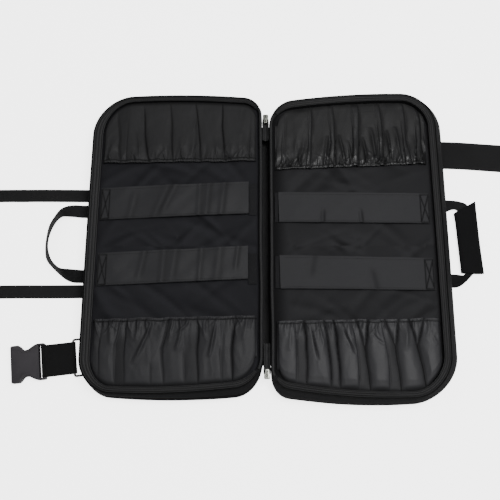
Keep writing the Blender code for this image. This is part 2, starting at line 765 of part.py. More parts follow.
def build_buckle_strap():
    """The doubled strap that joins the buckle's bar to the rectangular ring, and the ring itself."""
    middle = gap + buckle_height / 2
    turn = Matrix.Rotation(math.radians(-buckle_turn), 3, "Z")
    ring_local = turn @ Vector((ring_centre[0] - buckle_at[0], ring_centre[1] - buckle_at[1], 0))
    bar_along = ring_local.x - ring_size[0] / 2
    bar_height = ring_wire + webbing + 2 * gap + 0.2
    bar_radius = 2.2 + webbing + gap
    ring_radius = ring_wire + webbing + gap
    path = racetrack(-strap_bar / 2, bar_along, bar_radius + 0.6, ring_radius, middle, bar_height)
    loop_strap("buckle_strap", wide_strap / 2, path, buckle_at, buckle_turn)
    corner = ring_corner
    half_x, half_y = ring_size[0] / 2, ring_size[1] / 2
    route = []
    for sx, sy, first in ((1, 1, 0), (-1, 1, 90), (-1, -1, 180), (1, -1, 270)):
        for step in range(4):
            angle = math.radians(first + 30 * step)
            route.append((sx * (half_x - corner) + corner * math.cos(angle),
                          sy * (half_y - corner) + corner * math.sin(angle), bar_height))
    tube("strap_ring", turned(route, ring_centre, buckle_turn), ring_wire, "metal", cyclic=True,
         roughness=0.35, metallic=0.6, resolution=2)
    return bar_height


def build_ring_tab(bar_height):
    """The webbing tab that holds the ring's inner bar and goes in under the leaf."""
    leaf = leaves["left"]
    radius = ring_wire + webbing + gap
    bar = ring_size[0] / 2
    path = []
    for step in range(7):
        angle = math.pi / 2 + math.pi * step / 6
        path.append((bar + radius * math.cos(angle), bar_height + radius * math.sin(angle)))
    rows = [turned([(along, -tab_half, height), (along, tab_half, height)], ring_centre, buckle_turn)
            for along, height in path]
    for place, row in ((0, list(rows[0])), (len(rows) + 1, list(rows[-1]))):
        top = row[0].z + (webbing if place else 0.0)
        rows.insert(place, [Vector((strap_start(leaf, p.y, top), p.y, p.z)) for p in row])
    points = [p for row in rows for p in row]
    mesh = mesh_from("ring_tab", points, grid_faces(len(rows), 2))
    thicken(add_object("ring_tab", mesh, "webbing"), webbing)


def build_spine():
    """The fabric between the leaves: a strip on the floor and a sagging piece at each end."""
    left, right = leaves["left"], leaves["right"]
    u_left, u_right = left["corners"]["spine_top"][0], right["corners"]["spine_top"][0]
    x_left = wall_out(left, "spine", spine_strip_top + gap) - u_left + gap
    x_right = u_right - wall_out(right, "spine", spine_strip_top + gap) - gap
    low, high = spine_strip
    block("spine", (x_left, low, 0), (x_right, high, spine_strip_top), "shell")
    end_left, end_right = 3 * gap - u_left, u_right - 3 * gap
    for name, (y_low, y_high) in spine_ends.items():
        rows = []
        for k in range(5):
            y = y_low + (y_high - y_low) * k / 4
            row = []
            for j in range(7):
                share = j / 6
                sag = spine_end_sag * math.sin(math.pi * share) ** 2
                row.append((end_left + (end_right - end_left) * share, y, spine_end_height - sag))
            rows.append(row)
        sheet(name, rows, spine_end_thick, "shell")


def build_slider(name):
    """A zipper slider and its wire pull, resting on the fabric at the spine's end."""
    x, y, heading = sliders[name]
    base = spine_end_height + gap
    outline = [(half, heading * along) for along, half in slider_outline]
    outline += [(-half, heading * along) for along, half in reversed(slider_outline)]
    body = plate(name, outline, base, base + slider_height, "metal", 0.35, 0.9)
    body.location = (x * mm, y * mm, 0)
    round_edges(body, 0.7)
    top = base + slider_height
    arch = []
    for step in range(7):
        angle = math.pi * step / 6
        arch.append((0, heading * 5.0 * math.cos(angle), top - 0.6 + 2.4 * math.sin(angle)))
    pull = tube(name + "_pull", arch, pull_radius, "metal")
    pull.location = body.location
    collection.objects.unlink(pull)
    cutters.objects.link(pull)
    pull.hide_render = True
    pull.display_type = "WIRE"
    joined = body.modifiers.new("pull", "BOOLEAN")
    joined.operation = "UNION"
    joined.object = pull


for old in list(bpy.data.objects):
    bpy.data.objects.remove(old)
collection = bpy.data.collections.new("chef_knife_roll")
bpy.context.scene.collection.children.link(collection)
cutters = bpy.data.collections.new("cutters")
bpy.context.scene.collection.children.link(cutters)

for side in leaves:
    build_shell(side)
    build_panel(side)
    build_zip(side)
    build_piping(side)
for name in pockets:
    build_pocket(name)
for name in bands:
    build_band(name)
for name in patches:
    build_patch(name)
for name in floor_straps:
    build_floor_strap(name)
build_left_handle()
build_right_handle()
build_wrap()
build_buckle()
build_ring_tab(build_buckle_strap())
build_spine()
for name in sliders:
    build_slider(name)
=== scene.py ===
import math

import bmesh
import bpy
import numpy as np
from mathutils import Matrix, Vector
from mathutils.bvhtree import BVHTree


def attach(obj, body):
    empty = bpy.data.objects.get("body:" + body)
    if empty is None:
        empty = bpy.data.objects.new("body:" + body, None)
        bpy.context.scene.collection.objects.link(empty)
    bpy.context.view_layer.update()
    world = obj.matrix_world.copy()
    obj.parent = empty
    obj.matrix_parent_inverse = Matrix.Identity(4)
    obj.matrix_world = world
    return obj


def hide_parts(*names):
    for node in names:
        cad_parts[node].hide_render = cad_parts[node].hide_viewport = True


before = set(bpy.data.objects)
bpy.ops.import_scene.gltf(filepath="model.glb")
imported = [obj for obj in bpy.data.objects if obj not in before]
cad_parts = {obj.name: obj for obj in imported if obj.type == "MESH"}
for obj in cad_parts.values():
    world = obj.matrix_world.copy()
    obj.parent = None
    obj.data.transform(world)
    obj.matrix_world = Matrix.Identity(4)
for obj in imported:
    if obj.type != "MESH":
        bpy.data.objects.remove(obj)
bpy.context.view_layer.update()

# Lengths are in millimetres until a mesh is made.
mm = 0.001
draw = np.random.default_rng(41)

# Each leaf of the roll, in its own terms: u outward from the spine, v along Y.
leaves = {
    "left": {
        "sign": -1,
        "corners": {
            "spineBottom": (3, -206, 42), "outerBottom": (267, -215, 46),
            "outerTop": (266.5, 239.5, 62), "spineTop": (3, 240.5, 28),
        },
        "hem": {"spine": 5.0, "top": 9.0, "outer": 16.0, "bottom": 11.0},
        "panelInset": {"spine": 2.6, "top": 5.0, "outer": 11.5, "bottom": 7.5},
        "bows": {"bottom": 8, "outer": 1, "top": 7}, "slump": 0.7,
        "rim": 27, "spineRim": 25, "panelTop": 22.5,
        "wall": [
            (0.00, -7.0, -10.0, -16.0, -6.0),
            (0.10, -3.0, -5.0, -11.0, 0.0),
            (0.33, -1.0, -1.0, -8.0, 8.0),
            (0.55, 0.0, 1.0, -3.5, 11.0),
            (0.80, 0.0, 1.5, -0.5, 7.0),
        ],
    },
    "right": {
        "sign": 1,
        "corners": {
            "spineBottom": (8, -209, 27), "outerBottom": (266.5, -221, 56),
            "outerTop": (268, 246, 50), "spineTop": (8, 230.5, 38),
        },
        "hem": {"spine": 5.0, "top": 12.0, "outer": 12.0, "bottom": 11.0},
        "panelInset": {"spine": 2.6, "top": 7.5, "outer": 7.5, "bottom": 7.5},
        "bows": {"bottom": 10, "outer": 1, "top": 7.5}, "slump": 0.6,
        "rim": 31, "spineRim": 27, "panelTop": 23.5,
        "wall": [
            (0.00, -7.0, -6.0, -2.0, -3.0),
            (0.10, -3.0, -1.0, 4.0, 4.0),
            (0.33, -1.0, 3.0, 9.0, 9.0),
            (0.55, 0.0, 4.0, 10.0, 11.0),
            (0.80, 0.0, 3.0, 6.0, 7.0),
        ],
    },
}
sides = ("spine", "top", "outer", "bottom")


# Numbers and curves

def smoothStep(low, high, at):
    share = np.clip((at - low) / (high - low), 0, 1)
    return share * share * (3 - 2 * share)


def field(rows, columns, spreadRows, spreadColumns):  # smooth random field, standard deviation 1
    noise = np.fft.rfft2(draw.normal(size=(rows, columns)))
    fr = np.fft.fftfreq(rows)[:, None] * spreadRows
    fc = np.fft.rfftfreq(columns)[None, :] * spreadColumns
    made = np.fft.irfft2(noise * np.exp(-9 * (fr * fr + fc * fc)), s=(rows, columns))
    return (made - made.mean()) / made.std()


def throughKnots(knots, steps):  # smooth curve through knots along the first axis
    knots = np.asarray(knots, float)
    padded = np.concatenate([2 * knots[:1] - knots[1:2], knots, 2 * knots[-1:] - knots[-2:-1]])
    rows = []
    for k in range(len(knots) - 1):
        a, b, c, d = padded[k:k + 4]
        for t in np.linspace(0, 1, steps, endpoint=False):
            rows.append(0.5 * (2 * b + (c - a) * t + (2 * a - 5 * b + 4 * c - d) * t ** 2
                               + (3 * b - a - 3 * c + d) * t ** 3))
    rows.append(knots[-1])
    return np.array(rows)


def evenly(path, count):  # the same path with evenly spaced points
    path = np.asarray(path, float)
    gone = np.concatenate([[0], np.cumsum(np.linalg.norm(np.diff(path, axis=0), axis=1))])
    at = np.linspace(0, gone[-1], count)
    return np.stack([np.interp(at, gone, path[:, k]) for k in range(path.shape[1])], axis=1)


# The rim of a leaf

def sideWeights(out):
    across, along = out[:, 0], out[:, 1]
    return {
        "spine": np.where(across < 0, across ** 2, 0), "outer": np.where(across > 0, across ** 2, 0),
        "bottom": np.where(along < 0, along ** 2, 0), "top": np.where(along > 0, along ** 2, 0),
    }


def around(out, values):
    weights = sideWeights(out)
    return sum(weights[side] * values[side] for side in sides)


def rimHeight(leaf, out):
    return around(out, {**{side: leaf["rim"] for side in sides}, "spine": leaf["spineRim"]})


def rimOutline(leaf, count):  # anticlockwise in (u, v) from the spine's lower corner
    corners = [np.array(leaf["corners"][name], float)
               for name in ("spineBottom", "outerBottom", "outerTop", "spineTop")]
    places, outs = [], []
    for k, corner in enumerate(corners):
        before = corners[k - 1][:2] - corner[:2]
        after = corners[(k + 1) % 4][:2] - corner[:2]
        before, after = before / np.linalg.norm(before), after / np.linalg.norm(after)
        half = math.acos(np.clip(before @ after, -1, 1)) / 2
        middle = (before + after) / np.linalg.norm(before + after)
        centre = corner[:2] + middle * corner[2] / math.sin(half)
        start = corner[:2] + before * corner[2] / math.tan(half) - centre
        first = math.atan2(start[1], start[0])
        for turn in np.linspace(0, math.pi - 2 * half, 24):
            out = np.array((math.cos(first + turn), math.sin(first + turn)))
            outs.append(out)
            places.append(centre + out * corner[2])
    places, outs = np.array(places + places[:1]), np.array(outs + outs[:1])
    table = evenly(np.concatenate([places, outs * 0.001], axis=1), 1600)[:-1]
    place, out = table[:, :2], table[:, 2:] / np.linalg.norm(table[:, 2:], axis=1)[:, None]
    low, high = corners[3], corners[2]
    centreU, centreV = (low[0] + high[0]) / 2, (corners[2][1] + corners[1][1]) / 2
    halfU, halfV = (high[0] - low[0]) / 2, (corners[2][1] - corners[1][1]) / 2
    across = 1 - np.minimum(1, np.abs(place[:, 0] - centreU) / halfU) ** 2
    along = 1 - np.minimum(1, np.abs(place[:, 1] - centreV) / halfV) ** 2
    weights, bows = sideWeights(out), leaf["bows"]
    push = (weights["top"] * bows["top"] + weights["bottom"] * bows["bottom"]) * across
    push += weights["outer"] * bows["outer"] * along
    place = place + out * push[:, None]
    ring = evenly(np.concatenate([place, out], axis=1)[list(range(1599)) + [0]], count + 1)[:-1]
    return ring[:, :2], ring[:, 2:] / np.linalg.norm(ring[:, 2:], axis=1)[:, None]


def ringAt(leaf, place, out, outBy, height):  # points in the row frame
    at = place + out * np.asarray(outBy)[..., None]
    return np.stack([leaf["sign"] * at[:, 0], at[:, 1], np.broadcast_to(height, len(at))], axis=1)


def wallOut(leaf, side, height):
    rim = leaf["spineRim"] if side == "spine" else leaf["rim"]
    table = np.array(leaf["wall"] + [(1.0, 0, 0, 0, 0)])
    return np.interp(height / rim, table[:, 0], table[:, 1 + sides.index(side)])


def outerEdge(leaf, v):
    low, high = leaf["corners"]["outerBottom"], leaf["corners"]["outerTop"]
    share = (v - low[1]) / (high[1] - low[1])
    along = 1 - (abs(v - (low[1] + high[1]) / 2) / ((high[1] - low[1]) / 2)) ** 2
    return low[0] + (high[0] - low[0]) * share + leaf["bows"]["outer"] * along


def strapStart(leaf, v, top):
    return leaf["sign"] * (outerEdge(leaf, v) + wallOut(leaf, "outer", top + 0.45))


# Meshes

def gridNormals(top, wrap):
    if wrap:
        du = np.roll(top, -1, axis=1) - np.roll(top, 1, axis=1)
    else:
        du = np.gradient(top, axis=1)
    n = np.cross(du, np.gradient(top, axis=0))
    return n / np.maximum(np.linalg.norm(n, axis=2), 1e-9)[..., None]


def quads(rows, columns, wrap, start=0):
    i = np.arange(rows - 1)[:, None]
    j = np.arange(columns if wrap else columns - 1)[None, :]
    k = (j + 1) % columns
    made = np.stack([i * columns + j, i * columns + k, (i + 1) * columns + k, (i + 1) * columns + j], axis=2)
    return made.reshape(-1, 4) + start


def meshOf(name, points, faces, uv=None, smooth=True, sharpAngle=40):
    mesh = bpy.data.meshes.new(name)
    mesh.from_pydata((np.asarray(points) * mm).tolist(), [], [tuple(map(int, f)) for f in faces])
    if uv is not None:
        loops = np.zeros(len(mesh.loops), int)
        mesh.loops.foreach_get("vertex_index", loops)
        layer = mesh.uv_layers.new(name="place")
        layer.data.foreach_set("uv", (np.asarray(uv)[loops] * mm).ravel())
    mesh.validate()
    work = bmesh.new()
    work.from_mesh(mesh)
    bmesh.ops.recalc_face_normals(work, faces=work.faces)
    work.to_mesh(mesh)
    work.free()
    if smooth:
        mesh.polygons.foreach_set("use_smooth", [True] * len(mesh.polygons))
        mesh.set_sharp_from_angle(angle=math.radians(sharpAngle))
    made = bpy.data.objects.new(name, mesh)
    bpy.context.scene.collection.objects.link(made)
    return made


def setPaintedShade(obj, values):  # painted shade: how far each point of a piece lies in a crease or in shade, 0 to 1, which darkens its colour
    layer = obj.data.attributes.new("paintedShade", "FLOAT", "POINT")
    layer.data.foreach_set("value", np.asarray(values, float).ravel())


def arcUv(top):  # distance across and along a grid
    across = np.linalg.norm(np.diff(top, axis=1), axis=2).cumsum(axis=1)
    along = np.linalg.norm(np.diff(top, axis=0), axis=2).cumsum(axis=0)
    u = np.concatenate([np.zeros((len(top), 1)), across], axis=1)
    v = np.concatenate([np.zeros((1, top.shape[1])), along], axis=0)
    return np.stack([u, v], axis=2)


def clothFrom(name, top, thick, wrap=False, sharpAngle=40):  # a closed sheet under a grid of points
    rows, columns = top.shape[:2]
    normals = gridNormals(top, wrap)
    if not wrap and normals[..., 2].mean() < 0:
        normals = -normals
    under = top - normals * np.broadcast_to(thick, (rows, columns))[..., None]
    count = rows * columns
    uv = arcUv(top).reshape(-1, 2)
    faces = [quads(rows, columns, wrap), quads(rows, columns, wrap, count)[:, ::-1]]
    ring = np.arange(columns)
    edges = [(ring, np.roll(ring, -1)), ((rows - 1) * columns + ring, (rows - 1) * columns + np.roll(ring, -1))]
    if not wrap:
        edges = [(a[:-1], b[:-1]) for a, b in edges]
        down = np.arange(rows) * columns
        edges += [(down[:-1], down[1:]), (down[:-1] + columns - 1, down[1:] + columns - 1)]
    for a, b in edges:
        faces.append(np.stack([a, b, b + count, a + count], axis=1))
    points = np.concatenate([top.reshape(-1, 3), under.reshape(-1, 3)])
    return meshOf(name, points, np.concatenate(faces), np.concatenate([uv, uv]), sharpAngle=sharpAngle)


def tube(name, path, radius, around=12, closed=False, flatten=1.0, up=(0, 0, 1)):
    path = np.asarray(path, float)
    if closed:
        ahead = np.roll(path, -1, axis=0) - np.roll(path, 1, axis=0)
    else:
        ahead = np.gradient(path, axis=0)
    ahead /= np.linalg.norm(ahead, axis=1)[:, None]
    side = np.cross(ahead, np.array(up, float))
    side /= np.maximum(np.linalg.norm(side, axis=1), 1e-6)[:, None]
    lift = np.cross(side, ahead)
    turn = np.linspace(0, 2 * math.pi, around, endpoint=False)
    size = np.broadcast_to(radius, len(path))[:, None, None]
    points = path[:, None] + size * (side[:, None] * np.cos(turn)[None, :, None]
                                     + flatten * lift[:, None] * np.sin(turn)[None, :, None])
    faces = quads(len(path), around, True).tolist()
    last = (len(path) - 1) * around
    if closed:
        faces += [(last + k, last + (k + 1) % around, (k + 1) % around, k) for k in range(around)]
    else:
        faces += [tuple(range(around)), tuple(range(last, last + around))]
    uv = arcUv(points).reshape(-1, 2)
    return meshOf(name, points.reshape(-1, 3), faces, uv, sharpAngle=50)


def onto(obj, points, lift=0.0):  # drop points onto a piece from above
    mesh = obj.data
    tree = BVHTree.FromPolygons([v.co for v in mesh.vertices], [tuple(p.vertices) for p in mesh.polygons])
    landed = []
    for x, y in points:
        hit = tree.ray_cast(Vector((x * mm, y * mm, 0.2)), Vector((0, 0, -1)))[0]
        landed.append((x, y, (hit.z / mm if hit else 0.0) + lift))
    return np.array(landed)


def stitchRun(path, pitch, length, radius):  # beads of thread along a path
    path = np.asarray(path, float)
    total = np.linalg.norm(np.diff(path, axis=0), axis=1).sum()
    count = max(2, int(total / pitch))
    places = evenly(path, count)
    ahead = np.gradient(places, axis=0)
    ahead /= np.linalg.norm(ahead, axis=1)[:, None]
    side = np.cross(ahead, (0, 0, 1.0))
    side /= np.maximum(np.linalg.norm(side, axis=1), 1e-6)[:, None]
    up = np.cross(side, ahead)
    turn = np.linspace(0, 2 * math.pi, 5, endpoint=False)
    profile = ((-0.5, 0.25), (-0.3, 0.9), (0.0, 1.0), (0.3, 0.9), (0.5, 0.25))
    rings = []
    for along, wide in profile:
        centre = places + ahead * along * length - up * radius * 0.9 * abs(along * 2) ** 2
        rings.append(centre[:, None] + radius * wide * (side[:, None] * np.cos(turn)[None, :, None]
                                                        + up[:, None] * np.sin(turn)[None, :, None]))
    points = np.stack(rings, axis=1)
    return points.reshape(-1, 3), count


def stitches(name, runs, pitch=3.0, length=2.2, radius=0.28):
    points, faces, start = [], [], 0
    one = quads(5, 5, True).tolist() + [tuple(range(5)), tuple(range(20, 25))]
    for path in runs:
        made, count = stitchRun(path, pitch, length, radius)
        points.append(made)
        for k in range(count):
            faces += [tuple(v + start + 25 * k for v in face) for face in one]
        start += len(made)
    points = np.concatenate(points)
    return meshOf(name, points, faces, points[:, :2], sharpAngle=80)


# Shared looks

def newGroup(name, inputs, outputs):
    group = bpy.data.node_groups.new(name, "ShaderNodeTree")
    for label, kind in inputs:
        group.interface.new_socket(name=label, in_out="INPUT", socket_type=kind)
    for label, kind in outputs:
        group.interface.new_socket(name=label, in_out="OUTPUT", socket_type=kind)
    return group, group.nodes.new("NodeGroupInput"), group.nodes.new("NodeGroupOutput")


def mathNode(tree, operation, first, second=None, clamp=False):
    node = tree.nodes.new("ShaderNodeMath")
    node.operation = operation
    node.use_clamp = clamp
    for socket, value in zip(node.inputs, (first, second)):
        if isinstance(value, (int, float)):
            socket.default_value = value
        elif value is not None:
            tree.links.new(value, socket)
    return node.outputs[0]


def weaveGroup():  # threads over and under; ribs run across where Ribs is 1
    group, given, made = newGroup("weave", (("Vector", "NodeSocketVector"), ("Thread", "NodeSocketFloat"),
                                            ("Ribs", "NodeSocketFloat")), (("Height", "NodeSocketFloat"),))
    parts = group.nodes.new("ShaderNodeSeparateXYZ")
    group.links.new(given.outputs["Vector"], parts.inputs[0])
    waves = []
    for axis in (0, 1):
        scaled = mathNode(group, "DIVIDE", parts.outputs[axis], given.outputs["Thread"])
        waves.append(mathNode(group, "ABSOLUTE", mathNode(group, "SINE", mathNode(group, "MULTIPLY", scaled, math.pi))))
    plain = mathNode(group, "MULTIPLY", waves[0], waves[1])
    mix = group.nodes.new("ShaderNodeMix")
    group.links.new(given.outputs["Ribs"], mix.inputs[0])
    group.links.new(plain, mix.inputs[2])
    group.links.new(waves[1], mix.inputs[3])
    group.links.new(mix.outputs[0], made.inputs["Height"])
    return group


def noiseGroup(name, detail, low, high, scale):  # a mask from noise between two levels
    group, given, made = newGroup(name, (("Vector", "NodeSocketVector"), ("Scale", "NodeSocketFloat")),
                                  (("Mask", "NodeSocketFloat"),))
    group.interface.items_tree["Scale"].default_value = scale
    noise = group.nodes.new("ShaderNodeTexNoise")
    noise.inputs["Detail"].default_value = detail
    group.links.new(given.outputs["Vector"], noise.inputs["Vector"])
    group.links.new(given.outputs["Scale"], noise.inputs["Scale"])
    level = group.nodes.new("ShaderNodeMapRange")
    level.inputs["From Min"].default_value = low
    level.inputs["From Max"].default_value = high
    group.links.new(noise.outputs["Fac"], level.inputs["Value"])
    group.links.new(level.outputs["Result"], made.inputs["Mask"])
    return group


groups = {
    "weave": weaveGroup(),
    "mottle": noiseGroup("mottle", 3.0, 0.3, 0.7, 14.0),
    "lint": noiseGroup("lint", 2.0, 0.70, 0.78, 900.0),
    "grain": noiseGroup("grain", 4.0, 0.2, 0.8, 1800.0),
}


def useGroup(tree, name, vector, **values):
    node = tree.nodes.new("ShaderNodeGroup")
    node.node_tree = groups[name]
    tree.links.new(vector, node.inputs["Vector"])
    for label, value in values.items():
        node.inputs[label].default_value = value
    return node.outputs[0]


def cloth(name, look):
    made = bpy.data.materials.new(name)
    made.use_nodes = True
    tree = made.node_tree
    shader = tree.nodes["Principled BSDF"]
    place = tree.nodes.new("ShaderNodeUVMap")
    place.uv_map = "place"
    flat = tree.nodes.new("ShaderNodeTexCoord").outputs["Object"]
    mottle = useGroup(tree, "mottle", flat, Scale=look.get("mottleScale", 14.0))
    lint = useGroup(tree, "lint", flat)
    grain = useGroup(tree, "grain", flat)
    weave = useGroup(tree, "weave", place.outputs[0], Thread=look["thread"] * mm, Ribs=look["ribs"])
    colour = tree.nodes.new("ShaderNodeMix")
    colour.data_type = "RGBA"
    base = np.array(look["colour"])
    colour.inputs[6].default_value = (*(base * (1 - look["vary"])), 1)
    colour.inputs[7].default_value = (*(base * (1 + look["vary"])), 1)
    shade = mathNode(tree, "ADD", mathNode(tree, "MULTIPLY", mottle, 0.6), mathNode(tree, "MULTIPLY", weave, 0.4))
    tree.links.new(shade, colour.inputs[0])
    speck = tree.nodes.new("ShaderNodeMix")
    speck.data_type = "RGBA"
    speck.inputs[7].default_value = (*(base * 1.0 + 0.05), 1)
    tree.links.new(mathNode(tree, "MULTIPLY", lint, look["lint"]), speck.inputs[0])
    tree.links.new(colour.outputs[2], speck.inputs[6])
    # painted shade: where a piece is marked as lying in shade, its colour is darkened towards 8 percent of itself and
    # the cloth is made duller
    paintedShade = tree.nodes.new("ShaderNodeAttribute")
    paintedShade.attribute_name = "paintedShade"
    shaded = tree.nodes.new("ShaderNodeMix")
    shaded.data_type = "RGBA"
    shaded.inputs[7].default_value = (*(base * 0.08), 1)
    tree.links.new(paintedShade.outputs["Fac"], shaded.inputs[0])
    tree.links.new(speck.outputs[2], shaded.inputs[6])
    tree.links.new(shaded.outputs[2], shader.inputs["Base Color"])
    rough = mathNode(tree, "ADD", mathNode(tree, "MULTIPLY", mottle, 0.08), look["rough"] - 0.04)
    dull = mathNode(tree, "MULTIPLY", paintedShade.outputs["Fac"], 0.4)
    tree.links.new(mathNode(tree, "ADD", rough, dull, clamp=True), shader.inputs["Roughness"])
    shader.inputs["Specular IOR Level"].default_value = look["specular"]
    shader.inputs["Sheen Weight"].default_value = look["sheen"]
    shader.inputs["Sheen Roughness"].default_value = 0.4
    bump = tree.nodes.new("ShaderNodeBump")
    bump.inputs["Strength"].default_value = look["bump"]
    bump.inputs["Distance"].default_value = look["thread"] * mm * 0.35
    height = mathNode(tree, "ADD", weave, mathNode(tree, "MULTIPLY", grain, 0.5))
    tree.links.new(height, bump.inputs["Height"])
    tree.links.new(bump.outputs[0], shader.inputs["Normal"])
    return made


looks = {
    "leftShell": {"colour": (0.0063, 0.0063, 0.0069), "rough": 0.74, "specular": 0.13, "sheen": 0.0,
                  "thread": 0.8, "ribs": 0.0, "bump": 0.6, "lint": 0.5, "vary": 0.35},
    "rightShell": {"colour": (0.0088, 0.0088, 0.0094), "rough": 0.74, "specular": 0.13, "sheen": 0.0,
                   "thread": 0.8, "ribs": 0.0, "bump": 0.6, "lint": 0.5, "vary": 0.35},
    "wrap": {"colour": (0.0045, 0.0045, 0.0049), "rough": 0.8, "specular": 0.09, "sheen": 0.0,
             "thread": 0.8, "ribs": 0.0, "bump": 0.6, "lint": 0.5, "vary": 0.35},
    "cord": {"colour": (0.010, 0.010, 0.0105), "rough": 0.6, "specular": 0.25, "sheen": 0.0,
             "thread": 0.8, "ribs": 0.0, "bump": 0.6, "lint": 0.5, "vary": 0.3},
    # the right lining has a lighter colour than the left: partly painted light, since the right leaf lies brighter
    "leftPanel": {"colour": (0.0128, 0.0128, 0.0149), "rough": 0.8, "specular": 0.10, "sheen": 0.0,
                  "thread": 0.5, "ribs": 0.0, "bump": 0.4, "lint": 0.4, "vary": 0.12},
    "rightPanel": {"colour": (0.0160, 0.0160, 0.0173), "rough": 0.75, "specular": 0.13, "sheen": 0.0,
                   "thread": 0.9, "ribs": 0.0, "bump": 0.6, "lint": 0.4, "vary": 0.15},
    "tape": {"colour": (0.0180, 0.0180, 0.0185), "rough": 0.66, "specular": 0.20, "sheen": 0.0,
             "thread": 0.7, "ribs": 1.0, "bump": 0.6, "lint": 0.3, "vary": 0.25},
    "coil": {"colour": (0.003, 0.003, 0.003), "rough": 0.6, "specular": 0.12, "sheen": 0.0,
             "thread": 0.7, "ribs": 1.0, "bump": 0.4, "lint": 0.2, "vary": 0.25},
    # the four pockets' satin colours differ with how brightly each pocket lies: partly painted light
    "leftSatin": {"colour": (0.0158, 0.0158, 0.0172), "rough": 0.55, "specular": 0.145, "sheen": 0.0,
                  "thread": 0.35, "ribs": 0.3, "bump": 0.15, "lint": 0.3, "vary": 0.12},
    "leftTopSatin": {"colour": (0.0130, 0.0130, 0.0136), "rough": 0.55, "specular": 0.13, "sheen": 0.0,
                     "thread": 0.35, "ribs": 0.3, "bump": 0.15, "lint": 0.3, "vary": 0.12},
    "rightSatin": {"colour": (0.0205, 0.0205, 0.0222), "rough": 0.54, "specular": 0.215, "sheen": 0.0,
                   "thread": 0.35, "ribs": 0.3, "bump": 0.15, "lint": 0.3, "vary": 0.12},
    "rightTopSatin": {"colour": (0.0105, 0.0105, 0.0110), "rough": 0.38, "specular": 0.24, "sheen": 0.0,
                      "thread": 0.35, "ribs": 0.3, "bump": 0.15, "lint": 0.3, "vary": 0.12},
    "leftBand": {"colour": (0.0135, 0.0135, 0.0148), "rough": 0.5, "specular": 0.14, "sheen": 0.0,
                 "thread": 0.5, "ribs": 0.8, "bump": 0.25, "lint": 0.3, "vary": 0.10},
    "rightBand": {"colour": (0.0165, 0.0165, 0.0180), "rough": 0.6, "specular": 0.15, "sheen": 0.0,
                  "thread": 0.8, "ribs": 0.9, "bump": 0.4, "lint": 0.3, "vary": 0.10},
    "webbing": {"colour": (0.0072, 0.0072, 0.0075), "rough": 0.65, "specular": 0.14, "sheen": 0.0,
                "thread": 1.1, "ribs": 0.85, "bump": 0.8, "lint": 0.5, "vary": 0.35},
    "darkWebbing": {"colour": (0.0048, 0.0048, 0.0050), "rough": 0.7, "specular": 0.10, "sheen": 0.0,
                    "thread": 1.1, "ribs": 0.85, "bump": 0.8, "lint": 0.4, "vary": 0.35},
    "hook": {"colour": (0.010, 0.010, 0.011), "rough": 0.85, "specular": 0.15, "sheen": 0.0,
             "thread": 1.0, "ribs": 0.0, "bump": 1.0, "lint": 0.7, "vary": 0.35},
    "thread": {"colour": (0.0040, 0.0040, 0.0042), "rough": 0.6, "specular": 0.15, "sheen": 0.0,
               "thread": 0.2, "ribs": 0.0, "bump": 0.1, "lint": 0.0, "vary": 0.2},
}
materials = {name: cloth(name, look) for name, look in looks.items()}


def hardLook(name, colour, rough, metallic, grainHeight, specular=0.5):
    made = bpy.data.materials.new(name)
    made.use_nodes = True
    tree = made.node_tree
    shader = tree.nodes["Principled BSDF"]
    flat = tree.nodes.new("ShaderNodeTexCoord").outputs["Object"]
    mottle = useGroup(tree, "mottle", flat, Scale=60.0)
    grain = useGroup(tree, "grain", flat, Scale=900.0)
    mix = tree.nodes.new("ShaderNodeMix")
    mix.data_type = "RGBA"
    mix.inputs[6].default_value = (*(np.array(colour) * 0.85), 1)
    mix.inputs[7].default_value = (*(np.array(colour) * 1.12), 1)
    tree.links.new(mottle, mix.inputs[0])
    tree.links.new(mix.outputs[2], shader.inputs["Base Color"])
    tree.links.new(mathNode(tree, "ADD", mathNode(tree, "MULTIPLY", grain, 0.12), rough - 0.06),
                   shader.inputs["Roughness"])
    shader.inputs["Metallic"].default_value = metallic
    shader.inputs["Specular IOR Level"].default_value = specular
    bump = tree.nodes.new("ShaderNodeBump")
    bump.inputs["Strength"].default_value = grainHeight
    bump.inputs["Distance"].default_value = 0.0001
    tree.links.new(grain, bump.inputs["Height"])
    tree.links.new(bump.outputs[0], shader.inputs["Normal"])
    return made


materials["plastic"] = hardLook("plastic", (0.021, 0.0185, 0.0218), 0.42, 0.0, 0.2, 0.32)
materials["wire"] = hardLook("wire", (0.010, 0.010, 0.010), 0.4, 0.0, 0.1)
materials["metal"] = hardLook("metal", (0.19, 0.195, 0.175), 0.36, 1.0, 0.2)


def finishPiece(obj, look, slotName, *nodes):
    obj.data.materials.clear()
    obj.data.materials.append(materials[look])
    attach(obj, "root")
    if nodes:
        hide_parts(*nodes)
    return obj


# Shells

shellDetail = {
    "columns": 380, "stepsPerKnot": 5, "cloth": 2.0, "dents": 0.55,
    # height share, how far it stands out, half width as a share of the height
    "left": ((0.26, 0.7, 0.06), (0.42, -0.9, 0.05), (0.56, 0.7, 0.06), (0.72, -0.9, 0.05)),
    "right": ((0.24, 0.7, 0.05), (0.37, -0.9, 0.045), (0.50, 0.8, 0.05), (0.63, -0.9, 0.045), (0.76, 0.6, 0.05)),
}


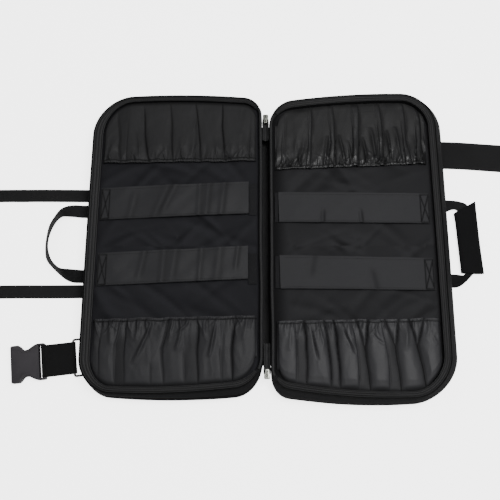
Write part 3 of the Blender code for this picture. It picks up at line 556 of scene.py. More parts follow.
def makeShell(side):
    leaf = leaves[side]
    place, out = rimOutline(leaf, shellDetail["columns"])
    height = rimHeight(leaf, out)
    hem = around(out, leaf["hem"])
    lip = leaf["panelTop"] + 0.3
    first, last = leaf["corners"]["spineBottom"][0], leaf["corners"]["outerBottom"][0]
    slump = 1 - leaf["slump"] * np.clip((place[:, 0] - first) / (last - first), 0, 1)
    knots = []
    for share, *stand in leaf["wall"]:
        values = dict(zip(sides, stand))
        if values["bottom"] > 0:
            values["bottom"] = values["bottom"] * slump
        knots.append((around(out, values), share * height))
    knots += [(-0.8 + 0 * hem, height), (-3.0 + 0 * hem, height), (1.2 - hem, height),
              (-hem, height - 1.2), (-hem, lip + 0 * hem)]
    rows = throughKnots([np.stack(k, axis=1) for k in knots], shellDetail["stepsPerKnot"])
    rows[..., 1] = np.clip(rows[..., 1], 0, height + 0.05)
    share = rows[..., 1] / height
    onWall = smoothStep(0.04, 0.16, share) * (1 - smoothStep(0.80, 0.92, share))
    onWall[5 * (len(leaf["wall"]) + 1):] = 0
    weights = sideWeights(out)
    room = 0.25 + 0.75 * (weights["bottom"] + weights["top"])
    dent = field(len(rows), len(place), 6, 30) * 0.6 + field(len(rows), len(place), 3, 9) * 0.4
    rows[..., 0] += onWall * room * dent * shellDetail["dents"]
    for at, stand, half in shellDetail[side]:
        rows[..., 0] += onWall * room * stand * np.exp(-((share - at) / half) ** 2)
    points = np.stack([ringAt(leaf, place, out, row[:, 0], row[:, 1]) for row in rows])
    normals = gridNormals(points, True)
    if leaf["sign"] < 0:
        normals = -normals
    middle = len(leaf["wall"]) * 2
    outward = np.stack([leaf["sign"] * out[:, 0], out[:, 1], 0 * height], axis=1)
    if (normals[middle] * outward).sum() < 0:
        normals = -normals
    inner = points - normals * shellDetail["cloth"]
    inner[..., 2] = np.maximum(inner[..., 2], 1.2)
    count = points.shape[0] * points.shape[1]
    columns = points.shape[1]
    last = (len(rows) - 1) * columns
    ring = np.arange(columns)
    lipFaces = np.stack([last + ring, last + np.roll(ring, -1), last + count + np.roll(ring, -1),
                         last + count + ring], axis=1)
    centre = points[0].mean(axis=0)
    faces = np.concatenate([quads(len(rows), columns, True), quads(len(rows), columns, True, count),
                            lipFaces]).tolist()
    faces += [(2 * count, k, (k + 1) % columns) for k in range(columns)]
    faces += [(2 * count + 1, count + k, count + (k + 1) % columns) for k in range(columns)]
    uv = arcUv(points).reshape(-1, 2)
    every = np.concatenate([points.reshape(-1, 3), inner.reshape(-1, 3), [centre, centre + (0, 0, 1.6)]])
    allUv = np.concatenate([uv, uv, [(0, 0), (0, 0)]])
    shell = meshOf(side + "_leaf_shell", every, faces, allUv)
    # painted shade in the wall's sunk dents
    sunk = sum(0.8 * onWall * np.exp(-((share - at) / half) ** 2) for at, stand, half in shellDetail[side] if stand < 0)
    setPaintedShade(shell, np.concatenate([sunk.ravel(), sunk.ravel(), (0, 0)]))
    finishPiece(shell, side + "Shell", "shell", side + "_shell")
    return shell


# Linings

# Edge: distances from the spine where the lining's painted shade is darkest and where the lining is plain, and how dark
# it is painted; shade scales the painted light and shade on the folds' slopes
liningFolds = {"count": 60, "height": 1.0, "shade": 2.4, "leftEdge": (6, 16, 0.5), "rightEdge": (12, 44, 0.75)}


def makeLining(side):
    leaf = leaves[side]
    place, out = rimOutline(leaf, 236)
    inset = around(out, leaf["panelInset"])
    edge = ringAt(leaf, place, out, -inset, leaf["panelTop"])
    centre = edge.mean(axis=0)
    shares = np.concatenate([np.linspace(0.02, 0.97, 50), [0.985, 1.0]])
    top = centre + (edge - centre)[None] * shares[:, None, None]
    reach = 1 - smoothStep(0.90, 1.0, shares)[:, None]
    x, y = top[..., 0], top[..., 1]
    sag = 0.16 * (np.sin(x / 31 + y / 23) + np.sin(x / 17 - y / 29 + 1.3))
    for k in range(liningFolds["count"]):
        at = (leaf["sign"] * draw.uniform(30, 245), draw.uniform(-150, 190))
        lean = draw.choice((-1, 1)) * draw.uniform(0.25, 0.9)
        ahead = (x - at[0]) * math.cos(lean) + (y - at[1]) * math.sin(lean)
        beside = (y - at[1]) * math.cos(lean) - (x - at[0]) * math.sin(lean) + 0.0015 * ahead ** 2
        tall = liningFolds["height"] * draw.uniform(0.4, 1.0)
        fold = np.exp(-(beside / draw.uniform(4, 8)) ** 2 - (ahead / draw.uniform(30, 70)) ** 2)
        sag = sag + tall * fold * draw.choice((-1, 1))
    top[..., 2] += reach * np.clip(sag, -1.3, 1.15) - 0.85
    rows, columns = top.shape[:2]
    count = rows * columns
    under = top - np.array((0, 0, 6.4))
    rim = count - columns + np.arange(columns)
    middle = top[0].mean(axis=0)
    points = np.concatenate([top.reshape(-1, 3), under.reshape(-1, 3), [middle, middle - (0, 0, 6.4)]])
    faces = np.concatenate([quads(rows, columns, True), quads(rows, columns, True, count),
                            np.stack([rim, np.roll(rim, -1), np.roll(rim, -1) + count, rim + count], axis=1)])
    fans = [(2 * count + k, k * count + j, k * count + (j + 1) % columns)
            for k in (0, 1) for j in range(columns)]
    lining = meshOf(side + "_panel", points, faces.tolist() + fans, points[:, :2])
    fromSpine = np.abs(points[:, 0])
    near, far, most = liningFolds[side + "Edge"]
    # painted light and shade on the folds: darker where a fold slopes one way and lighter where it slopes the other,
    # over a painted shade on the whole lining
    slope = np.gradient(reach * sag, axis=0) / np.maximum(np.linalg.norm(np.gradient(top, axis=0), axis=2), 0.5)
    shade = np.clip(0.16 + liningFolds["shade"] * slope * np.sign(y), 0, 0.6)
    # painted shade that darkens the lining towards the spine
    held = np.concatenate([shade.ravel(), shade.ravel(), [0, 0]])
    setPaintedShade(lining, np.maximum(held, most * (1 - smoothStep(near, far, fromSpine))))
    finishPiece(lining, side + "Panel", "panel", side + "_lining")
    return lining


for side in leaves:
    makeShell(side)
    makeLining(side)
print("shells and linings made")


# Zippers

def zipStretch(leaf, count):
    place, out = rimOutline(leaf, count)
    kept = sideWeights(out)["spine"] < 0.72
    start = int(np.argmax(kept & ~np.roll(kept, 1)))
    order = (np.arange(count) + start) % count
    order = order[kept[order]]
    return place[order], out[order]


# Lines along the tape: share of the way inward, height, half width as a share
tapeLines = ((0.02, 0.40, 0.05), (0.15, -0.62, 0.06), (0.33, 0.36, 0.08), (0.52, -0.55, 0.05),
             (0.68, 0.36, 0.08), (0.86, -0.60, 0.05), (0.97, 0.20, 0.04))


def makeZip(side):
    leaf = leaves[side]
    place, out = zipStretch(leaf, 560)
    height = rimHeight(leaf, out)
    hem = around(out, leaf["hem"])
    shares = np.linspace(0, 1, 21)
    rows, relief = [], []
    for share in shares:
        raised = sum(tall * math.exp(-((share - at) / half) ** 2) for at, tall, half in tapeLines)
        lift = 1.5 + 0.4 * math.sin(math.pi * share) + raised
        relief.append(raised)
        rows.append(ringAt(leaf, place, out, -3.0 - share * (hem - 2.8), height + lift))
    top = np.stack(rows)
    top[..., 2] += 0.12 * field(len(rows), len(place), 2, 10)
    thick = np.broadcast_to(0.9 + np.array(relief)[:, None], top.shape[:2])
    tape = clothFrom(side + "_zipper_tape", top, thick)
    # painted shade in the tape's sunk lines
    sunk = np.clip(-np.array(relief) * 1.4, 0, 0.9)[:, None] + 0 * top[..., 0]
    setPaintedShade(tape, np.concatenate([sunk.ravel(), sunk.ravel()]))
    finishPiece(tape, "tape", "tape", side + "_zip_tape")
    runs = []
    for share in (0.33, 0.66):
        lift = 1.5 + 0.4 * math.sin(math.pi * share) + 0.40
        runs.append(ringAt(leaf, place, out, -3.0 - share * (hem - 2.8), height + lift)[4:-4])
    seam = finishPiece(stitches(side + "_zipper_seam", runs), "thread", "tape")
    line = evenly(ringAt(leaf, place, out, -1.3 + 0 * hem, height + 1.5), 2400)
    tooth = np.arange(2400) % 4
    line[:, 2] += np.array((0.0, 0.12, 0.0, -0.12))[tooth]
    coil = tube(side + "_zipper_coil", line, np.array((0.78, 1.15, 1.15, 0.78))[tooth], around=5)
    finishPiece(coil, "coil", "tape", side + "_zip_coil")


for side in leaves:
    makeZip(side)
print("zippers made")


# Pockets: mouth and foot as in the CAD part. lines run from mouth to foot as (share of the way, u, depth)
# and fills are how full the cloth stands between them, from one edge to the other, with the edges.
# folds start at (u, share of the way) and end at (u, share), with a height and a half width.
pockets = {
    "left_top_pocket": {
        "leaf": "left", "end": "top", "mouth": (135.5, 131.5), "fullness": 5.6, "look": "leftTopSatin",
        "seams": (12, 58, 96, 136, 174, 214, 249.6), "footShare": 0.5, "pucker": 0.85, "gather": 0.9, "crumple": 0.7,
        "lines": (((0, 24, 0.3), (0.4, 22.5, 0.5), (1, 22, 0.2)), ((0, 60, 0.7), (0.3, 62, 1), (0.6, 66, 1), (1, 66, 0.9)),
                  ((0, 98, 0.8), (0.3, 99.2, 1), (0.65, 104, 1), (1, 109, 0.8)), ((0, 113, 0.5), (0.3, 103.5, 0.6), (1, 109, 0.1)),
                  ((0, 141, 0.7), (0.25, 143, 0.9), (0.6, 145, 0.9), (1, 149, 0.7)), ((0, 153, 0.5), (0.2, 144.5, 0.5), (1, 149, 0.1)),
                  ((0, 178, 0.8), (0.2, 181, 1), (0.47, 186, 1), (0.8, 189, 0.9), (1, 191, 0.3)),
                  ((0, 213, 0.2), (0.5, 213.5, 0.4), (1, 213.5, 0.3)), ((0, 222, 0.8), (0.43, 224.2, 0.8), (0.8, 230, 0.7), (1, 232, 0.2))),
        "fills": (0.9, 0.8, 0.7, 0.6, 0.8, 0.7, 0.8, 0.8, 0.6, 1.0),
        "folds": ((30, 0, 34, 0.5, 0.8, 3.0), (76, 0, 70, 0.4, 1.0, 2.6), (110, 0.5, 104, 0.75, 1.2, 1.8),
                  (125, 0, 130, 0.4, 0.9, 3.0), (192, 0.05, 196, 0.5, 1.2, 2.4), (240, 0, 234, 0.4, 1.4, 2.8)),
    },
    "left_bottom_pocket": {
        "leaf": "left", "end": "bottom", "mouth": (-105.5, -111), "fullness": 6.2, "look": "leftSatin",
        "seams": (12, 54, 105, 153, 206, 249.6), "footShare": 0.6, "pucker": 0.95, "gather": 1.0, "crumple": 0.45,
        "lines": (((0, 44, 0.6), (0.3, 46.3, 1), (1, 47.6, 1)), ((0, 64, 0), (0.45, 63, 0.1), (0.55, 63, 0.5), (1, 63, 0.5)),
                  ((0, 99, 0.6), (0.2, 96.7, 1), (1, 96.7, 0.9)), ((0, 117, 0), (0.45, 116, 0.1), (0.55, 116, 0.5), (1, 116, 0.5)),
                  ((0, 140, 0.5), (0.12, 142.3, 0.7), (0.45, 147.3, 0.8), (1, 145.5, 0.7)),
                  ((0, 168, 0), (0.65, 164.4, 0.1), (0.75, 164.4, 0.5), (1, 164.4, 0.5)),
                  ((0, 200, 0.3), (0.15, 202.5, 0.7), (1, 202, 0.7)), ((0, 209, 0.4), (0.4, 215.4, 0.6), (1, 215.4, 0.5)),
                  ((0, 236, 0.2), (0.4, 238.7, 0.5), (1, 238.7, 0.5))),
        "fills": (1.0, 0.7, 0.9, 0.6, 0.8, 0.8, 0.9, 0.5, 0.9, 0.6),
        "folds": ((164, 0.06, 188, 0.68, 3.0, 3.0), (118.7, 0.08, 127, 0.5, 2.2, 2.6), (71, 0.08, 80, 0.62, 2.6, 2.4),
                  (134, 0.03, 139, 0.4, 1.6, 2.8), (182, 0.03, 186, 0.35, 1.8, 2.4), (90, 0.02, 86, 0.3, 1.6, 2.4),
                  (26, 0, 30, 0.4, 1.4, 3.5), (225, 0.0, 222, 0.4, 1.4, 3.0)),
    },
    "right_top_pocket": {
        "leaf": "right", "end": "top", "mouth": (121, 130.5), "fullness": 6.6, "look": "rightTopSatin",
        "seams": (17, 36, 74, 111, 149, 187, 221, 251), "footShare": 0.62, "pucker": 1.2, "gather": 1.4, "crumple": 1.5,
        "lines": (((0, 26, 0.3), (0.4, 27, 0.6), (1, 29, 0.5)), ((0, 31, 0.3), (0.4, 32, 0.8), (1, 33, 0.6)),
                  ((0, 64, 0.3), (0.4, 69, 0.5), (1, 69, 0.6)), ((0, 72, 0.6), (0.4, 75.5, 1), (1, 75, 1)),
                  ((0, 98, 0.3), (0.4, 104, 0.5), (1, 100, 0.6)), ((0, 108, 0.9), (0.4, 112.5, 1), (1, 108, 1)),
                  ((0, 136, 0.3), (0.4, 138.5, 0.5), (1, 137, 0.6)), ((0, 146, 1), (0.4, 149.5, 1), (1, 149, 1)),
                  ((0, 178, 0.3), (0.4, 179, 0.5), (1, 174, 0.6)), ((0, 186, 1), (0.4, 187.5, 1), (1, 182, 1)),
                  ((0, 218, 0.3), (0.4, 216, 0.5), (1, 213, 0.6)), ((0, 229, 0.8), (0.4, 223, 1), (1, 220, 1)),
                  ((0, 234, 0.3), (0.4, 237, 0.5), (1, 235, 0.6)), ((0, 249, 0.6), (0.4, 246.5, 0.9), (1, 244, 1))),
        "fills": (0.5, 0.8, 0.4, 1.1, 0.4, 1.1, 0.4, 1.2, 0.4, 1.1, 0.4, 1.1, 0.5, 1.2, 0.3),
        "folds": ((52, 0, 58, 0.32, 2.4, 2.6), (64, 0, 66, 0.3, 2.0, 2.2), (92, 0, 98, 0.5, 2.6, 2.4),
                  (124, 0, 116, 0.5, 3.2, 2.4), (134, 0, 130, 0.4, 2.4, 2.2), (158, 0, 153, 0.45, 3.4, 2.2),
                  (172, 0, 166, 0.6, 3.0, 2.8), (196, 0, 191, 0.55, 3.4, 2.0), (210, 0, 204, 0.6, 3.2, 2.8),
                  (238, 0, 240, 0.22, 2.4, 2.4)),
    },
    "right_bottom_pocket": {
        "leaf": "right", "end": "bottom", "mouth": (-114, -110), "fullness": 8.6, "look": "rightSatin",
        "seams": (17, 58, 102, 146, 189, 224, 252.4), "footShare": 0.74, "pucker": 1.0, "gather": 1.0, "crumple": 0.5,
        "lines": (((0, 43, 0.3), (0.35, 45, 0.4), (1, 44.5, 0.5)), ((0, 57, 1), (0.3, 58.4, 1), (1, 58.6, 1)),
                  ((0, 86, 0.9), (0.05, 87.5, 0.9), (0.5, 91, 1), (1, 94, 0.9)), ((0, 99, 0.9), (0.1, 101.5, 1), (0.5, 103.5, 1), (1, 106, 0.9)),
                  ((0, 124, 0.2), (0.45, 132, 0.4), (1, 133, 0.5)), ((0, 132, 0.9), (0.4, 142.4, 1), (0.6, 143.6, 1), (1, 149, 1)),
                  ((0, 150, 1), (0.4, 143.2, 1), (0.6, 144.1, 1), (1, 149.3, 1)), ((0, 166, 0.1), (0.5, 175, 0.3), (1, 176.8, 0.6)),
                  ((0, 174, 0.9), (0.38, 186.4, 1), (0.6, 187.3, 1), (1, 192.6, 1)), ((0, 194, 0.9), (0.38, 187.1, 1), (0.6, 187.8, 1), (1, 193, 1)),
                  ((0, 209, 0.9), (0.38, 217.8, 1), (1, 227.6, 1)), ((0, 231, 0.9), (0.38, 218.6, 1), (1, 228.2, 1))),
        "fills": (1.0, 0.55, 0.9, 0.6, 1.1, 0.55, 0.6, 1.15, 0.55, 0.6, 1.0, 0.7, 1.0),
        "folds": ((66.7, 0.1, 75.6, 0.62, -2.6, 1.5), (112.4, 0.1, 128.4, 0.5, -3.0, 1.6), (154, 0.2, 170, 0.38, -1.6, 3.0),
                  (36, 0.1, 33, 0.5, 1.4, 2.6), (204, 0.05, 200, 0.45, 1.6, 3.0), (240, 0.3, 246, 0.5, 1.4, 2.4),
                  (158, 0.0, 161, 0.3, 1.8, 2.4), (76, 0.0, 84, 0.4, 2.0, 2.4), (118, 0.0, 121, 0.4, 2.0, 2.2)),
    },
}
pocketGrid = {"rows": 72, "columns": 256, "hem": 3.6, "cloth": 1.0}


def footLine(leaf, end, u):
    place, out = rimOutline(leaf, 1200)
    inset = np.maximum(leaf["hem"][end], around(out, leaf["hem"])) + 1.2
    line = place - out * inset[:, None]
    facing = out[:, 1] > 0.02 if end == "top" else out[:, 1] < -0.02
    line = line[facing]
    line = line[np.argsort(line[:, 0])]
    return np.interp(u, line[:, 0], line[:, 1])


def pocketTop(name):
    plan = pockets[name]
    leaf = leaves[plan["leaf"]]
    rows, columns = pocketGrid["rows"], pocketGrid["columns"]
    seams = np.array(plan["seams"], float)
    u = np.linspace(seams[0], seams[-1], columns)[None, :]
    t = (np.linspace(0, 1, rows) ** 1.35)[:, None]
    across = (u - seams[0]) / (seams[-1] - seams[0])
    mouth = plan["mouth"][0] + (plan["mouth"][1] - plan["mouth"][0]) * across
    foot = footLine(leaf, plan["end"], u)
    way = np.sign(foot - mouth)
    long = np.abs(foot - mouth)
    s = t * long
    edge = ((0, seams[0], 1), (1, seams[0], 1)), ((0, seams[-1], 1), (1, seams[-1], 1))
    lines = [edge[0], *plan["lines"], edge[1]]
    wander = 0.7 * field(rows, 1, 17, 1)
    ats = [np.interp(t, [p[0] for p in line], [p[1] for p in line]) for line in lines]
    depths = [np.interp(t, [p[0] for p in line], [p[2] for p in line]) for line in lines]
    full, pressed, paintedShade = np.zeros((rows, columns)), np.ones((rows, columns)), np.zeros((rows, columns))
    for k, fill in enumerate(plan["fills"]):
        full += fill * smoothStep(-0.8, 0.8, u - ats[k]) * (1 - smoothStep(-0.8, 0.8, u - ats[k + 1]))
    for k, (at, depth) in enumerate(zip(ats, depths)):
        inner = 0 < k < len(ats) - 1
        beside = np.abs(u - at - (wander if inner else 0))
        pressed *= 1 - depth * (0.55 * np.exp(-(beside / 5.5) ** 1.3) + 0.45 * np.exp(-(beside / 1.5) ** 2))
        if inner:
            # painted shade along each pleat line, deeper lines darker
            paintedShade = np.maximum(paintedShade, depth ** 2 * np.exp(-(beside / 1.05) ** 2))
    profile = np.interp(t, (0, 0.06, 0.25, 0.5, 0.85, 0.94, 1.0),
                        (0.62, 0.72, 1.0, 0.5 + 0.5 * plan["footShare"], plan["footShare"],
                         plan["footShare"] * 0.7, 0.08))
    height = plan["fullness"] * profile * full * pressed
    low = 1 - smoothStep(0.45, 0.75, full)
    # painted shade on the flat pleats between the full parts, and on the foot by the hem
    paintedShade = np.maximum(paintedShade, 0.45 * low * smoothStep(0.15, 0.4, t) * (u > seams[0] + 2) * (u < seams[-1] - 2))
    paintedShade = np.maximum(paintedShade, 0.75 * smoothStep(0.93, 1.0, t))
    height += 0.10 * plan["fullness"] * np.exp(-s / 16)
    # long folds; the deepest sunk ones get painted shade along them and the tallest raised ones painted shade on one
    # side
    for u0, t0, u1, t1, tall, half in plan["folds"]:
        run = np.clip((t - t0) / (t1 - t0), 0, 1)
        centre = u0 + (u1 - u0) * run ** 1.25
        fade = np.sin(math.pi * np.clip(run, 0.02, 0.98)) ** 0.6 * (t > t0) * (t < t1)
        beside = (u - centre) / (half * (0.7 + 0.6 * run))
        height += tall * fade * np.exp(-beside ** 2) * (1 + 0.35 * np.tanh(beside * 2))
        if tall < -2:
            paintedShade = np.maximum(paintedShade, 0.8 * fade * np.exp(-(beside * 1.6) ** 2))
        elif tall > 2:
            paintedShade = np.maximum(paintedShade, 0.4 * fade * np.exp(-((beside - 1.5) * 2.2) ** 2))
    # folds gathered at the elastic, each a bent ridge beside a hollow with painted shade
    for k in range(int(26 * plan["gather"])):
        start, slope = draw.uniform(seams[0] + 3, seams[-1] - 3), draw.normal() * 0.35
        far, bend = draw.uniform(9, 24), draw.normal() * 0.02
        tall, wide = plan["gather"] * draw.uniform(0.8, 2.4), draw.uniform(1.0, 2.0)
        beside = (u - start - slope * s - bend * s * s) / wide
        fade = smoothStep(1.0, 4.0, s) * np.exp(-(s / far) ** 3)
        height += tall * fade * np.exp(-np.abs(beside) ** 1.5)
        paintedShade = np.maximum(paintedShade, 0.42 * fade * np.exp(-((beside - 1.6) * 1.7) ** 2))
    # puckers that start at the elastic and die away, fewer and wider with distance
    for count, reach, tall, wide in ((120, 9, 0.75, 1.1), (54, 17, 0.95, 1.9), (24, 34, 0.9, 2.8)):
        starts = np.linspace(seams[0] + 2, seams[-1] - 2, count) + draw.normal(size=count) * 2.0
        for start in starts:
            slope = draw.normal() * 0.16
            size = tall * plan["pucker"] * draw.uniform(0.35, 1.25) * draw.choice((1, 1, -0.8))
            far = reach * draw.uniform(0.6, 1.5)
            centre = start + slope * s
            width = wide * (0.8 + 0.5 * s / far)
            near = smoothStep(1.0, 4.0, s)
            height += near * size * np.exp(-(s / far) ** 1.6) * np.exp(-((u - centre) / width) ** 2)
    crease = field(rows, columns, 14, 11)
    height += 0.30 * crease * smoothStep(0, 0.1, t) * (1 - smoothStep(0.9, 1, t))
    fine = 0.5 - np.abs(field(rows, columns, 6.6, 4.8))
    height += 0.20 * fine * smoothStep(0.03, 0.1, t) * (1 - smoothStep(0.85, 1, t))
    # crumpled cloth in the half of the pocket by its mouth, with painted shade in its hollows
    crumple = 0.7 - np.abs(field(rows, columns, 12, 8))
    crumpled = smoothStep(2, 7, s) * np.exp(-(s / 46) ** 3)
    height += plan["crumple"] * crumple * crumpled
    paintedShade = np.maximum(paintedShade, 0.3 * plan["crumple"] * crumpled * smoothStep(0.4, 1.2, -crumple))
    # flat pleats have fine wrinkles straight across
    ripple = np.sin(2 * math.pi * s / 3.4 + 2.5 * field(rows, columns, 17, 21))
    height += 0.13 * ripple * low * smoothStep(0.25, 0.45, t) * (1 - smoothStep(0.85, 1, t))
    # the elastic hem and the line of stitching under it, with a painted shadow along that line
    hem = pocketGrid["hem"]
    onHem = 1 - smoothStep(hem - 0.6, hem + 0.6, s)
    pleats = np.abs(np.sin(math.pi * (u + 0.8 * field(1, columns, 1, 3.2)) / 2.9))
    height += onHem * (0.35 + 0.75 * pleats) - 0.55 * np.exp(-((s - hem - 0.6) / 0.7) ** 2)
    height = np.maximum(height, 0.0)
    fixed = smoothStep(0, 2.5, u - seams[0]) * (1 - smoothStep(0, 2.5, u - seams[-1] + 2.5))
    z = leaf["panelTop"] + 0.25 + pocketGrid["cloth"] + height * (0.15 + 0.85 * fixed)
    z = np.minimum(z, leaf["panelTop"] + 11.5)
    # painted shadow under the elastic hem
    paintedShade = np.maximum(paintedShade, 0.8 * np.exp(-((s - hem - 0.7) / 0.9) ** 2))
    scallop = 1.2 * full[:1] * pressed[:1] * (1 - t)
    v = mouth + way * (s + scallop * 0.6) + 0.35 * field(1, columns, 1, 7.5) * (1 - t)
    return np.stack([leaf["sign"] * (u + 0 * z), v, z], axis=2), paintedShade


def makePocket(name):
    plan = pockets[name]
    leaf = leaves[plan["leaf"]]
    top, paintedShade = pocketTop(name)
    under = np.full(top.shape[:2], pocketGrid["cloth"])
    made = clothFrom(name.replace("_pocket", "_gathered_pocket"), top, under, sharpAngle=75)
    finishPiece(made, plan["look"], "satin", name)
    setPaintedShade(made, np.concatenate([paintedShade.ravel(), paintedShade.ravel()]))
    runs = []
    for at in plan["seams"][1:-1]:
        foot = float(footLine(leaf, plan["end"], at))
        mouth = float(np.interp(at, (plan["seams"][0], plan["seams"][-1]), plan["mouth"]))
        line = np.linspace((leaf["sign"] * at, mouth + (foot - mouth) * 0.88),
                           (leaf["sign"] * at, mouth + (foot - mouth) * 0.98), 12)
        runs.append(onto(made, line, 0.05))
    seam = finishPiece(stitches(made.name + "_stitches", runs, radius=0.22), plan["look"], "satin")
    return made


for name in pockets:
    makePocket(name)
print("pockets made")


# Loop bands and the patches they close on
bands = {
    "left_upper_band": {"leaf": "left", "look": "leftBand", "low": (-249.5, 40.5, -24, 50),
                        "high": (-249.5, 91.5, -24, 101.5), "lift": (0.0, 1.2, 2.6), "sewn": (-249, -236),
                        "folds": ((-169, -149, 1.1, 5.5, 0.0, 1.2), (-160, -136, 0.8, 4.6, 0.2, 1.2),
                                  (-101, -99, 0.9, 3.2, -0.2, 1.2), (-90, -86, 1.1, 4.2, -0.2, 1.2),
                                  (-67, -62, 1.1, 4.0, -0.2, 1.2), (-206, -196, 0.9, 4.5, -0.2, 0.8))},
    "left_lower_band": {"leaf": "left", "look": "leftBand", "low": (-249, -61.5, -25, -51.5),
                        "high": (-249, -11.5, -25, -1), "lift": (0.0, 1.0, 3.2), "sewn": (-248.5, -235.5),
                        "folds": ((-154, -151, 1.0, 4.2, -0.2, 1.2), (-140, -134, 1.0, 5.0, 0.1, 1.2),
                                  (-98, -95, 1.0, 3.2, -0.2, 1.2), (-73, -68, 0.9, 5.0, -0.2, 1.2),
                                  (-190, -180, 1.0, 4.0, 0.2, 1.2), (-46, -40, 1.2, 3.0, 0.3, 1.2))},
    "right_upper_band": {"leaf": "right", "look": "rightBand", "low": (22, 36.5, 250.5, 34.5),
                         "high": (21, 84.5, 250, 82.5), "lift": (0.8, 1.4, 0.0), "sewn": (236, 249.5),
                         "folds": ((87, 91, 1.4, 2.4, -0.2, 0.4), (146, 143, 1.4, 2.2, -0.2, 0.4))},
    "right_lower_band": {"leaf": "right", "look": "rightBand", "low": (23, -66, 250.5, -68.5),
                         "high": (22, -15, 250.5, -19.5), "lift": (0.8, 1.2, 0.0), "sewn": (236.5, 249.5),
                         "folds": ((160, 150, 0.8, 5.0, -0.2, 0.6), (60, 70, 0.7, 5.0, 0.4, 1.2))},
}


def makeBand(name):
    plan = bands[name]
    floor = leaves[plan["leaf"]]["panelTop"] + 1.5
    rows, columns = 32, 170
    share = np.linspace(0, 1, columns)[None, :]
    w = np.linspace(0, 1, rows)[:, None]
    start, middle, end = plan["lift"]
    lift = start * (1 - share) ** 3 + end * share ** 3 + middle * (4 * share * (1 - share)) ** 2
    lift = lift + 0.35 * (1 + np.sin(share * 17)) * np.minimum(1, np.minimum(6 * share, 6 * (1 - share)))
    lift = np.maximum(0, lift) * (1 + 0.4 * np.sin(math.pi * w))
    across = plan["low"][0] + (plan["low"][2] - plan["low"][0]) * share
    folded = np.zeros((rows, columns))
    paintedShade = np.zeros((rows, columns))
    for xLow, xHigh, tall, half, start, end in plan["folds"]:
        beside = (across - xLow - (xHigh - xLow) * w) / half
        fade = smoothStep(start - 0.15, start + 0.15, w) * (1 - smoothStep(end - 0.15, end + 0.15, w))
        folded += tall * fade * np.exp(-beside ** 2)
        # painted shade on one side of each fold
        paintedShade = np.maximum(paintedShade, min(0.6, 0.35 * tall) * fade * np.exp(-((beside - 1.2) * 1.1) ** 2))
    slanted = np.stack([np.roll(row, int(-1.7 * k)) for k, row in enumerate(field(rows, columns, 27, 22))])
    fold = np.stack([np.roll(row, int(1.35 * k)) for k, row in enumerate(field(rows, columns, 32, 10))])
    calm = np.minimum(1, np.minimum(9 * share, 9 * (1 - share)))
    tall = 0.42 if plan["leaf"] == "left" else 0.24
    lift = lift + folded + calm * (tall * (slanted + 1.2) + 0.14 * fold * tall / 0.24)
    lift = lift + 0.25 * (np.exp(-(w / 0.03) ** 2) + np.exp(-((1 - w) / 0.03) ** 2))
    low = np.array(plan["low"][:2])[None, None] * (1 - share[..., None]) + np.array(plan["low"][2:]) * share[..., None]
    high = (np.array(plan["high"][:2])[None, None] * (1 - share[..., None])
            + np.array(plan["high"][2:]) * share[..., None])
    place = low * (1 - w[..., None]) + high * w[..., None]
    top = np.concatenate([place, np.maximum(floor, floor + lift)[..., None]], axis=2)
    made = clothFrom(name.replace("_band", "_loop_band"), top, 1.1)
    finishPiece(made, plan["look"], "band", name)
    a, b = plan["sewn"]
    sewnEnd = 0 if plan["leaf"] == "left" else -1
    yLow, yHigh = top[0, sewnEnd, 1] + 2.2, top[-1, sewnEnd, 1] - 2.2
    corners = {"bl": (a + 1, yLow), "br": (b, yLow), "tr": (b, yHigh), "tl": (a + 1, yHigh)}
    runs = []
    for first, second in (("bl", "br"), ("br", "tr"), ("tr", "tl"), ("tl", "bl"), ("bl", "tr"), ("br", "tl")):
        line = np.linspace(corners[first], corners[second], 24)
        runs.append(onto(made, line, 0.12))
        start, way = np.array(corners[first]), np.array(corners[second]) - corners[first]
        off = top[..., :2] - start
        at = np.clip((off @ way) / (way @ way), 0, 1)
        gone = np.linalg.norm(off - at[..., None] * way, axis=2)
        # the box-X stitch lines are painted dark into the band
        paintedShade = np.maximum(paintedShade, 0.9 * np.exp(-(gone / 0.9) ** 2))
    # painted shadow along the band's lower edge
    paintedShade = np.maximum(paintedShade, 0.5 * np.exp(-(w / 0.025) ** 2))
    setPaintedShade(made, np.concatenate([paintedShade.ravel(), paintedShade.ravel()]))
    edgeRuns = []
    for row in (2, rows - 3):
        edgeRuns.append(top[row, 6:-6:4] + np.array((0, 0, 0.1)))
    seam = finishPiece(stitches(made.name + "_stitches", runs + edgeRuns, radius=0.26), "thread", "band")


for name in bands:
    makeBand(name)

patches = {
    "left_upper_patch": ("left", -23.6, 48.5, -11.5, 99.0),
    "left_lower_patch": ("left", -24.6, -58.5, -11.5, -12.0),
    "right_upper_patch": ("right", 15.5, 37.0, 20.6, 84.0),
    "right_lower_patch": ("right", 15.5, -65.0, 21.6, -16.0),
}
for name, (side, xLow, yLow, xHigh, yHigh) in patches.items():
    x, y = np.meshgrid(np.linspace(xLow, xHigh, 12), np.linspace(yLow, yHigh, 40))
    z = leaves[side]["panelTop"] + 1.2 + 0.10 * field(40, 12, 2, 2)
    patch = clothFrom(name.replace("_patch", "_hook_patch"), np.stack([x, y, z], axis=2), 0.8)
    finishPiece(patch, "hook", "webbing", name)
print("bands made")


# Straps that lie on the floor
floorStraps = {
    "left_upper_strap": ("left", ((None, 76.5, 97.0, 1.1), (-330, 77, 97.5, 1.2), (-380, 77, 97.5, 1.1),
                                  (-423, 76.5, 97, 1.1))),
    "left_lower_strap": ("left", ((None, -75.5, -55.0, 1.1), (-320, -76, -55.5, 1.1),
                                  (-365, -76, -55.5, 1.2), (-409, -76.5, -56, 1.1))),
    "right_wide_strap": ("right", ((None, 133, 179, 1.1), (310, 131.5, 177.5, 1.3), (345, 129, 175, 1.2),
                                   (381, 126.5, 172.5, 1.1))),
}


